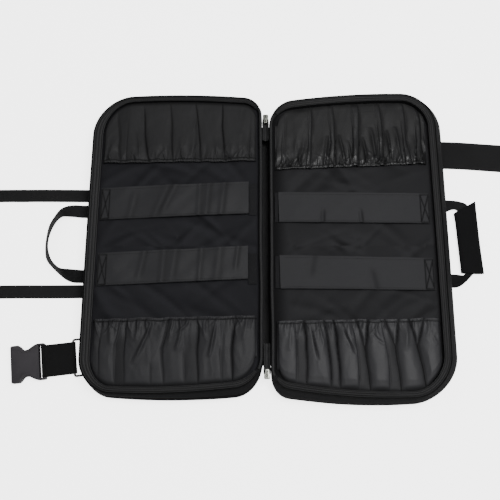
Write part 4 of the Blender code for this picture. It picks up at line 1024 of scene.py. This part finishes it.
def webbingEdge(w):  # thicker woven edges
    return 0.22 * (np.exp(-((w - 0.04) / 0.03) ** 2) + np.exp(-((w - 0.96) / 0.03) ** 2))


for name, (side, table) in floorStraps.items():
    leaf = leaves[side]
    w = np.linspace(0, 1, 30)
    knots = []
    for x, low, high, height in table:
        top = height + 0.8
        y = low + (high - low) * w
        if x is None:
            xs = [strapStart(leaf, value, top) for value in y]
        else:
            xs = np.full(len(w), float(x))
        knots.append(np.stack([xs, y, top - 0.15 + webbingEdge(w)], axis=1))
    grid = throughKnots(knots, 14)
    grid[..., 2] += 0.10 * field(grid.shape[0], grid.shape[1], 8, 20) * np.linspace(0.4, 1, len(grid))[:, None]
    grid[..., 2] = np.maximum(grid[..., 2], 1.75)
    strap = clothFrom(name + "_webbing", grid, 1.45)
    finishPiece(strap, "webbing", "webbing", name)


# Handles
leftHandleRows = (
    (None, 61, 1.1, 0), (-280, 61, 1.3, 2), (-295, 61.5, 3.2, 9), (-308, 59, 6.2, 24),
    (-317, 50.5, 9.6, 45), (-325, 36, 11.0, 53), (-329.5, 17, 11.0, 63), (-330, 0, 11.0, 66),
    (-327, -14, 11.0, 65), (-319, -26, 11.0, 73), (-307, -36.5, 10.9, 70), (-294, -41, 7.0, 38),
    (-280, -42, 1.5, 3), (None, -42.2, 1.1, 0),
)
rightHandleRows = (
    (None, 58.5, None, 81.0, 1.1), (281.0, 60.0, 283.5, 80.0, 1.4), (291.0, 63.5, 303.0, 77.0, 3.8),
    (298.5, 60.5, 316.0, 69.0, 4.6), (299.5, 44.0, 320.5, 47.0, 4.8), (300.5, 6.0, 321.5, 6.0, 4.8),
    (301.0, -24.0, 322.0, -27.0, 4.8), (301.5, -39.5, 311.5, -42.5, 4.0), (290.5, -39.0, 292.0, -58.5, 1.5),
    (None, -37.5, None, -58.5, 1.1),
)
wrapRows = ((292.6, 57.0, 327.5, 76.5), (294.0, 38.0, 328.0, 38.0), (295.0, 6.0, 328.8, 6.0),
            (296.0, -20.0, 330.0, -20.0), (296.5, -37.5, 331.0, -38.5))


def makeLeftHandle():
    leaf = leaves["left"]
    table = []
    for x, y, z, lean in leftHandleRows:
        if x is None:
            x = max(strapStart(leaf, y - 12, z + 0.8), strapStart(leaf, y + 12, z + 0.8)) - 0.6
        table.append((x, y, z, lean))
    path = throughKnots(table, 8)
    ahead = np.gradient(path[:, :2], axis=0)
    ahead /= np.linalg.norm(ahead, axis=1)[:, None]
    across = np.stack([-ahead[:, 1], ahead[:, 0], 0 * path[:, 0]], axis=1)
    lean = np.radians(path[:, 3])
    width = across * np.cos(lean)[:, None] + np.array((0, 0, 1.0)) * np.sin(lean)[:, None]
    w = np.linspace(-0.5, 0.5, 24)
    grid = path[:, None, :3] + width[:, None] * (w * 20.5)[None, :, None]
    normals = np.cross(np.stack([ahead[:, 0], ahead[:, 1], 0 * lean], axis=1), width)
    bulge = 0.6 + webbingEdge(w + 0.5)
    grid = grid + normals[:, None] * bulge[None, :, None]
    handle = clothFrom("left_carry_handle", grid, 1.3)
    finishPiece(handle, "webbing", "webbing", "left_handle")


def makeRightHandle():
    leaf = leaves["right"]
    w = np.linspace(0, 1, 24)[:, None]
    knots = []
    for xIn, yIn, xOut, yOut, height in rightHandleRows:
        if xIn is None:
            xIn, xOut = strapStart(leaf, yIn, height + 0.8), strapStart(leaf, yOut, height + 0.8)
        inner, outer = np.array((xIn, yIn, height + 0.6)), np.array((xOut, yOut, height + 0.6))
        knots.append(inner * (1 - w) + outer * w + np.array((0, 0, 1.0)) * webbingEdge(w))
    grid = throughKnots(knots, 7)
    grid[..., 2] = np.maximum(grid[..., 2], 1.65)
    handle = clothFrom("right_carry_handle", grid, 1.3)
    finishPiece(handle, "webbing", "webbing", "right_handle")


def makeWrap():
    rows = throughKnots(wrapRows, 10)
    middle, half = 4.8, 4.5
    turn = np.linspace(0, 2 * math.pi, 64, endpoint=False)
    across = np.sign(np.cos(turn)) * np.abs(np.cos(turn)) ** 0.62
    up = np.sign(np.sin(turn)) * np.abs(np.sin(turn)) ** 0.75
    grid = []
    dents = field(len(rows), len(turn), 9, 8) * 0.22
    for k, (xLeft, yLeft, xRight, yRight) in enumerate(rows):
        left, right = np.array((xLeft, yLeft, middle)), np.array((xRight, yRight, middle))
        row = (left + right) / 2 + (right - left) / 2 * across[:, None]
        lap = 0.7 * smoothStep(0.52, 0.60, across) * (up > 0)  # the flap laps over near the outer edge
        row[:, 2] += half * up + (dents[k] + lap) * np.maximum(up, 0)
        grid.append(row)
    wrap = clothFrom("right_handle_padding", np.array(grid), 2.0, wrap=True)
    finishPiece(wrap, "wrap", "shell", "right_handle_wrap")


makeLeftHandle()
makeRightHandle()
makeWrap()
print("straps and handles made")


# The buckle, its strap, the ring and its tab
buckle = {
    "at": (-319.0, -169.5), "turn": 7.0, "height": 11.0, "mouthHeight": 6.6, "mouthDepth": 33.0,
    "mouthHalf": 22.0, "bar": 4.0, "slot": 5.0, "slotHalf": 24.0,
    "outline": ((0.0, 26.4), (12.0, 26.4), (17.0, 24.2), (25.0, 19.2), (31.0, 19.2), (36.0, 25.4),
                (38.5, 27.2), (48.5, 27.2), (50.0, 25.6)),
}
ring = {"centre": (-272.6, -164.0), "size": (13.0, 53.0), "wire": 1.7, "corner": 2.6, "tabHalf": 20.5}


def plate(name, outline, low, high):
    work = bmesh.new()
    face = work.faces.new([work.verts.new(Vector((x, y, low)) * mm) for x, y in outline])
    raised = bmesh.ops.extrude_face_region(work, geom=[face])
    up = [v for v in raised["geom"] if isinstance(v, bmesh.types.BMVert)]
    bmesh.ops.translate(work, vec=(0, 0, (high - low) * mm), verts=up)
    bmesh.ops.recalc_face_normals(work, faces=work.faces)
    mesh = bpy.data.meshes.new(name)
    work.to_mesh(mesh)
    work.free()
    made = bpy.data.objects.new(name, mesh)
    bpy.context.scene.collection.objects.link(made)
    return made


def boxAt(low, high):
    return plate("cutting", ((low[0], low[1]), (high[0], low[1]), (high[0], high[1]), (low[0], high[1])),
                 low[2], high[2])


def bevel(obj, width, segments=3):
    soften = obj.modifiers.new("edges", "BEVEL")
    soften.width = width * mm
    soften.segments = segments
    soften.limit_method = "ANGLE"


def boolean(obj, tool, operation):
    step = obj.modifiers.new("shape", "BOOLEAN")
    step.operation = operation
    step.object = tool


def settled(obj, tools=()):  # apply modifiers and remove what shaped it
    mesh = bpy.data.meshes.new_from_object(obj.evaluated_get(bpy.context.evaluated_depsgraph_get()))
    old = obj.data
    obj.modifiers.clear()
    obj.data = mesh
    bpy.data.meshes.remove(old)
    for tool in tools:
        bpy.data.objects.remove(tool)
    return obj


def rounded(points, radius, steps=5):  # an outline with its corners rounded
    points = [np.array(p, float) for p in points]
    made = []
    for k, corner in enumerate(points):
        before, after = points[k - 1] - corner, points[(k + 1) % len(points)] - corner
        near = min(radius, np.linalg.norm(before) * 0.45, np.linalg.norm(after) * 0.45)
        a = corner + before / np.linalg.norm(before) * near
        b = corner + after / np.linalg.norm(after) * near
        for t in np.linspace(0, 1, steps):
            made.append(a * (1 - t) ** 2 + 2 * corner * t * (1 - t) + b * t ** 2)
    return made


def makeBuckle():
    half = [(-along, wide) for along, wide in buckle["outline"]]
    outline = half + [(-along, -wide) for along, wide in reversed(buckle["outline"])]
    base, top = 0.3, 0.3 + buckle["height"]
    body = plate("side_release_buckle", rounded(outline, 3.0), base, top)
    bevel(body, 1.5)
    tools = []
    middle = (base + top) / 2
    length = buckle["outline"][-1][0]
    slotHalf, bar, slot = buckle["slotHalf"], buckle["bar"], buckle["slot"]
    cuts = [
        ((-length - 2, -buckle["mouthHalf"], middle - 3.3), (-length + 33, buckle["mouthHalf"], middle + 3.3)),
        ((-bar - slot, -slotHalf, base - 2), (-bar, slotHalf, top + 2)),
        ((-bar - 1, -slotHalf, middle + 2.0), (3, slotHalf, top + 2)),
        ((-bar - 1, -slotHalf, base - 2), (3, slotHalf, middle - 2.2)),
    ]
    for low, high in cuts:
        tool = boxAt(low, high)
        tools.append(tool)
        boolean(body, tool, "DIFFERENCE")
    # shallow recess that frames the top plate
    for sign in (1, -1):
        groove = plate("groove", rounded([(-50.5, sign * 19.0), (-37.0, sign * 19.0), (-33.0, sign * 14.0),
                                          (-24.0, sign * 14.0), (-17.0, sign * 21.0), (-13.2, sign * 21.0),
                                          (-13.2, sign * 22.0), (-16.5, sign * 22.2), (-24.5, sign * 15.2),
                                          (-32.5, sign * 15.2), (-37.0, sign * 20.2), (-50.5, sign * 20.2)][::sign],
                                         0.6, 3), top - 0.5, top + 2)
        tools.append(groove)
        boolean(body, groove, "DIFFERENCE")
    settled(body, tools)
    turn = Matrix.Translation(Vector((*buckle["at"], 0)) * mm) @ Matrix.Rotation(math.radians(buckle["turn"]), 4, "Z")
    body.data.transform(turn)
    body.data.polygons.foreach_set("use_smooth", [True] * len(body.data.polygons))
    body.data.set_sharp_from_angle(angle=math.radians(30))
    finishPiece(body, "plastic", "hard", "buckle")
    return body


def turned(points, centre):
    angle = math.radians(buckle["turn"])
    points = np.asarray(points, float)
    x = points[..., 0] * math.cos(angle) - points[..., 1] * math.sin(angle) + centre[0]
    y = points[..., 0] * math.sin(angle) + points[..., 1] * math.cos(angle) + centre[1]
    return np.stack([x, y, points[..., 2]], axis=-1)


def racetrack(start, end, radiusStart, radiusEnd, heightStart, heightEnd, steps=24):
    first = math.pi / 2 + math.pi * np.linspace(0, 1, steps)
    second = -math.pi / 2 + math.pi * np.linspace(0, 1, steps)
    a = np.stack([start + radiusStart * np.cos(first), heightStart + radiusStart * np.sin(first)], axis=1)
    b = np.stack([end + radiusEnd * np.cos(second), heightEnd + radiusEnd * np.sin(second)], axis=1)
    under = a[-1] + (b[0] - a[-1]) * np.linspace(0, 1, 20)[1:-1, None]
    over = b[-1] + (a[0] - b[-1]) * np.linspace(0, 1, 20)[1:-1, None]
    return np.concatenate([a, under, b, over])


def makeBuckleStrap():
    middle = 0.3 + buckle["height"] / 2
    angle = -math.radians(buckle["turn"])
    away = np.array(ring["centre"]) - np.array(buckle["at"])
    local = away[0] * math.cos(angle) - away[1] * math.sin(angle)
    barAlong = local - ring["size"][0] / 2
    barHeight = ring["wire"] + 1.6 + 0.6 + 0.2
    path = racetrack(-buckle["bar"] / 2, barAlong, 4.7, ring["wire"] + 1.9, middle, barHeight)
    w = np.linspace(-23, 23, 24)
    loop = np.stack([np.stack([np.full(len(w), along), w, np.full(len(w), height)], axis=1)
                     for along, height in path])
    loop = turned(loop, buckle["at"])
    grid = loop.transpose(1, 0, 2)
    normals = gridNormals(grid, True)
    centre = grid.mean(axis=(0, 1))
    if (normals * (grid - centre)).sum() < 0:
        normals = -normals
    grid = grid + normals * webbingEdge((w + 23) / 46)[:, None, None]
    strap = closedBand("buckle_webbing", grid, normals, 1.45)
    finishPiece(strap, "darkWebbing", "webbing", "buckle_strap")
    half = np.array(ring["size"]) / 2
    route = []
    for sx, sy, first in ((1, 1, 0), (-1, 1, 90), (-1, -1, 180), (1, -1, 270)):
        for step in range(7):
            angle = math.radians(first + 15 * step)
            route.append((sx * (half[0] - ring["corner"]) + ring["corner"] * math.cos(angle),
                          sy * (half[1] - ring["corner"]) + ring["corner"] * math.sin(angle), barHeight))
    loopRing = tube("webbing_ring", turned(route, ring["centre"]), ring["wire"] - 0.05, around=16, closed=True)
    finishPiece(loopRing, "wire", "wire", "strap_ring")
    return barHeight


def closedBand(name, grid, normals, thick):  # a ring of cloth: columns wrap, rows run across
    rows, columns = grid.shape[:2]
    inner = grid - normals * thick
    count = rows * columns
    faces = [quads(rows, columns, True), quads(rows, columns, True, count)]
    ringIndex = np.arange(columns)
    for start in (0, (rows - 1) * columns):
        a, b = start + ringIndex, start + np.roll(ringIndex, -1)
        faces.append(np.stack([a, b, b + count, a + count], axis=1))
    uv = arcUv(grid)[..., ::-1].reshape(-1, 2)
    points = np.concatenate([grid.reshape(-1, 3), inner.reshape(-1, 3)])
    return meshOf(name, points, np.concatenate(faces), np.concatenate([uv, uv]))


def makeRingTab(barHeight):
    leaf = leaves["left"]
    radius = ring["wire"] + 1.9
    bar = ring["size"][0] / 2
    turnSteps = math.pi / 2 + math.pi * np.linspace(0, 1, 20)
    path = np.stack([bar + radius * np.cos(turnSteps), barHeight + radius * np.sin(turnSteps)], axis=1)
    w = np.linspace(-ring["tabHalf"], ring["tabHalf"], 30)
    rows = [turned(np.stack([np.full(len(w), a), w, np.full(len(w), h)], axis=1), ring["centre"]) for a, h in path]
    for place, row, extra in ((0, rows[0], 0.0), (1, rows[-1], 1.6)):
        ends = row.copy()
        ends[:, 0] = [strapStart(leaf, y, z + extra) for _, y, z in row]
        more = [ends * (1 - t) + row * t for t in np.linspace(0, 1, 12)[:-1]]
        rows = more + rows if place == 0 else rows + more[::-1]
    grid = np.stack(rows)
    normals = gridNormals(grid, False)
    if normals[5, :, 2].mean() < 0:
        normals = -normals
    tab = sheetWith("ring_tab_webbing", grid, normals, 1.45)
    finishPiece(tab, "webbing", "webbing", "ring_tab")


def sheetWith(name, grid, normals, thick):
    rows, columns = grid.shape[:2]
    under = grid - normals * thick
    count = rows * columns
    down = np.arange(rows) * columns
    ringIndex = np.arange(columns)
    faces = [quads(rows, columns, False), quads(rows, columns, False, count)]
    for a, b in ((ringIndex[:-1], ringIndex[1:]), ((rows - 1) * columns + ringIndex[:-1],
                 (rows - 1) * columns + ringIndex[1:]), (down[:-1], down[1:]),
                 (down[:-1] + columns - 1, down[1:] + columns - 1)):
        faces.append(np.stack([a, b, b + count, a + count], axis=1))
    uv = arcUv(grid).reshape(-1, 2)
    points = np.concatenate([grid.reshape(-1, 3), under.reshape(-1, 3)])
    return meshOf(name, points, np.concatenate(faces), np.concatenate([uv, uv]))


makeBuckle()
makeRingTab(makeBuckleStrap())
print("buckle made")


# The spine between the leaves
spineEnds = {"spine_end_top": (172.0, 208.0), "spine_end_bottom": (-190.0, -146.0)}


def makePiping(side):
    leaf = leaves[side]
    place, out = rimOutline(leaf, 1400)
    kept = sideWeights(out)["spine"] >= 0.80
    place, out = place[kept], out[kept]
    order = np.argsort(place[:, 1])
    place, out = place[order], out[order]
    line = evenly(ringAt(leaf, place, out, -2.6 + 0 * place[:, 0], rimHeight(leaf, out) + 2.7), 300)
    swell = 1 + 0.05 * field(1, 300, 1, 7)[0]
    line[:, 0] += 0.25 * field(1, 300, 1, 28)[0]
    edge = tube(side + "_corded_edge", line, 2.25 * np.clip(swell, 0.9, 1.06), around=12)
    finishPiece(edge, "cord", "shell", side + "_piping")


def makeSpine():
    left, right = leaves["left"], leaves["right"]
    xLeft = wallOut(left, "spine", 2.3) - 3 + 0.3
    xRight = 8 - wallOut(right, "spine", 2.3) - 0.3
    x, y = np.meshgrid(np.linspace(xLeft, xRight, 16), np.linspace(-176, 204, 260))
    z = 1.7 + 0.3 * np.clip(field(260, 16, 21, 6), -1, 1)
    strip = clothFrom("spine_cloth", np.stack([x, y, z], axis=2), 1.3)
    finishPiece(strip, "cord", "shell", "spine")
    for name, (yLow, yHigh) in spineEnds.items():
        share = np.linspace(0, 1, 22)
        along = np.linspace(0, 1, 48)[:, None]
        sag = 3.0 * np.sin(math.pi * share) ** 2
        x = -2.1 + 9.2 * share + 0 * along
        y = yLow + (yHigh - yLow) * along + 0 * share
        vee = 0.9 * np.cos((y + 9 * np.abs(share - 0.5) * (1 if yLow > 0 else -1)) / 2.6)
        z = 23.0 - sag + vee * np.sin(math.pi * share) * 0.5 - 0.45 * np.sin(math.pi * share)
        cover = clothFrom(name + "_cloth", np.stack([x, y, z], axis=2), 1.5)
        finishPiece(cover, "tape", "shell", name)


sliders = {"zipper_slider_top": (2.4, 207.0, 1), "zipper_slider_bottom": (2.4, -190.0, -1)}


def makeSlider(name):
    x, y, heading = sliders[name]
    base = 23.3
    half = ((7.2, 3.0), (6.2, 4.3), (1.5, 4.4), (-3.0, 3.2), (-6.4, 3.0), (-7.2, 2.2))
    outline = [(wide, heading * along) for along, wide in half]
    outline += [(-wide, heading * along) for along, wide in reversed(half)]
    body = plate(name + "_body", rounded(outline, 1.2, 4), base, base + 3.6)
    bevel(body, 0.6)
    side = boxAt((-6, heading * -8 if heading > 0 else -2, base + 1.4), (-2.8, 2 if heading > 0 else 8, base + 2.4))
    boolean(body, side, "DIFFERENCE")
    turn = math.pi * np.linspace(0, 1, 20)
    top = base + 3.6
    arch = np.stack([0 * turn, heading * 5.0 * np.cos(turn), top - 0.6 + 2.4 * np.sin(turn)], axis=1)
    pull = tube(name + "_arch", arch, 0.85, around=12)
    settled(body, [side])
    boolean(body, pull, "UNION")
    settled(body, [pull])
    body.data.transform(Matrix.Translation(Vector((x, y, 0)) * mm))
    body.data.polygons.foreach_set("use_smooth", [True] * len(body.data.polygons))
    body.data.set_sharp_from_angle(angle=math.radians(35))
    finishPiece(body, "metal", "metal", name)


for side in leaves:
    makePiping(side)
makeSpine()
for name in sliders:
    makeSlider(name)
print("spine made")


# Floor, light and camera

floorGlow = 3.2  # the floor is lit past white in the view, as in the photo


def paleFloor():
    mesh = bpy.data.meshes.new("floor")
    reach = 6.0
    mesh.from_pydata([(-reach, -reach, -0.0004), (reach, -reach, -0.0004), (reach, reach, -0.0004),
                      (-reach, reach, -0.0004)], [], [(0, 1, 2, 3)])
    floor = bpy.data.objects.new("floor", mesh)
    bpy.context.scene.collection.objects.link(floor)
    made = bpy.data.materials.new("floor")
    made.use_nodes = True
    shader = made.node_tree.nodes["Principled BSDF"]
    shader.inputs["Base Color"].default_value = (0.93, 0.93, 0.93, 1)
    shader.inputs["Roughness"].default_value = 0.9
    shader.inputs["Specular IOR Level"].default_value = 0.1
    shader.inputs["Emission Color"].default_value = (1, 1, 1, 1)
    seen = made.node_tree.nodes.new("ShaderNodeLightPath").outputs["Is Camera Ray"]
    glow = mathNode(made.node_tree, "MULTIPLY", seen, floorGlow)
    made.node_tree.links.new(glow, shader.inputs["Emission Strength"])
    mesh.materials.append(made)


lights = {
    "key": {"at": (0.55, 0.05, 1.9), "size": 0.9, "power": 45},
    "fill": {"at": (-1.2, 0.9, 1.8), "size": 1.6, "power": 8},
}


def areaLight(name, plan):
    data = bpy.data.lights.new(name, "AREA")
    data.energy = plan["power"]
    data.size = plan["size"]
    lamp = bpy.data.objects.new(name, data)
    lamp.location = plan["at"]
    lamp.rotation_euler = (-Vector(plan["at"])).to_track_quat("-Z", "Y").to_euler()
    bpy.context.scene.collection.objects.link(lamp)


paleFloor()
for name, plan in lights.items():
    areaLight(name, plan)
world = bpy.data.worlds.new("studio")
bpy.context.scene.world = world
world.use_nodes = True
world.node_tree.nodes["Background"].inputs["Color"].default_value = (1, 1, 1, 1)
world.node_tree.nodes["Background"].inputs["Strength"].default_value = 0.42

cameraData = bpy.data.cameras.new("camera")
cameraData.lens = 50
cameraData.sensor_width = 36
camera = bpy.data.objects.new("camera", cameraData)
camera.location = (-0.022, -0.2839, 1.0238)
camera.rotation_euler = (math.radians(15.5), 0, 0)
bpy.context.scene.collection.objects.link(camera)
bpy.context.scene.camera = camera
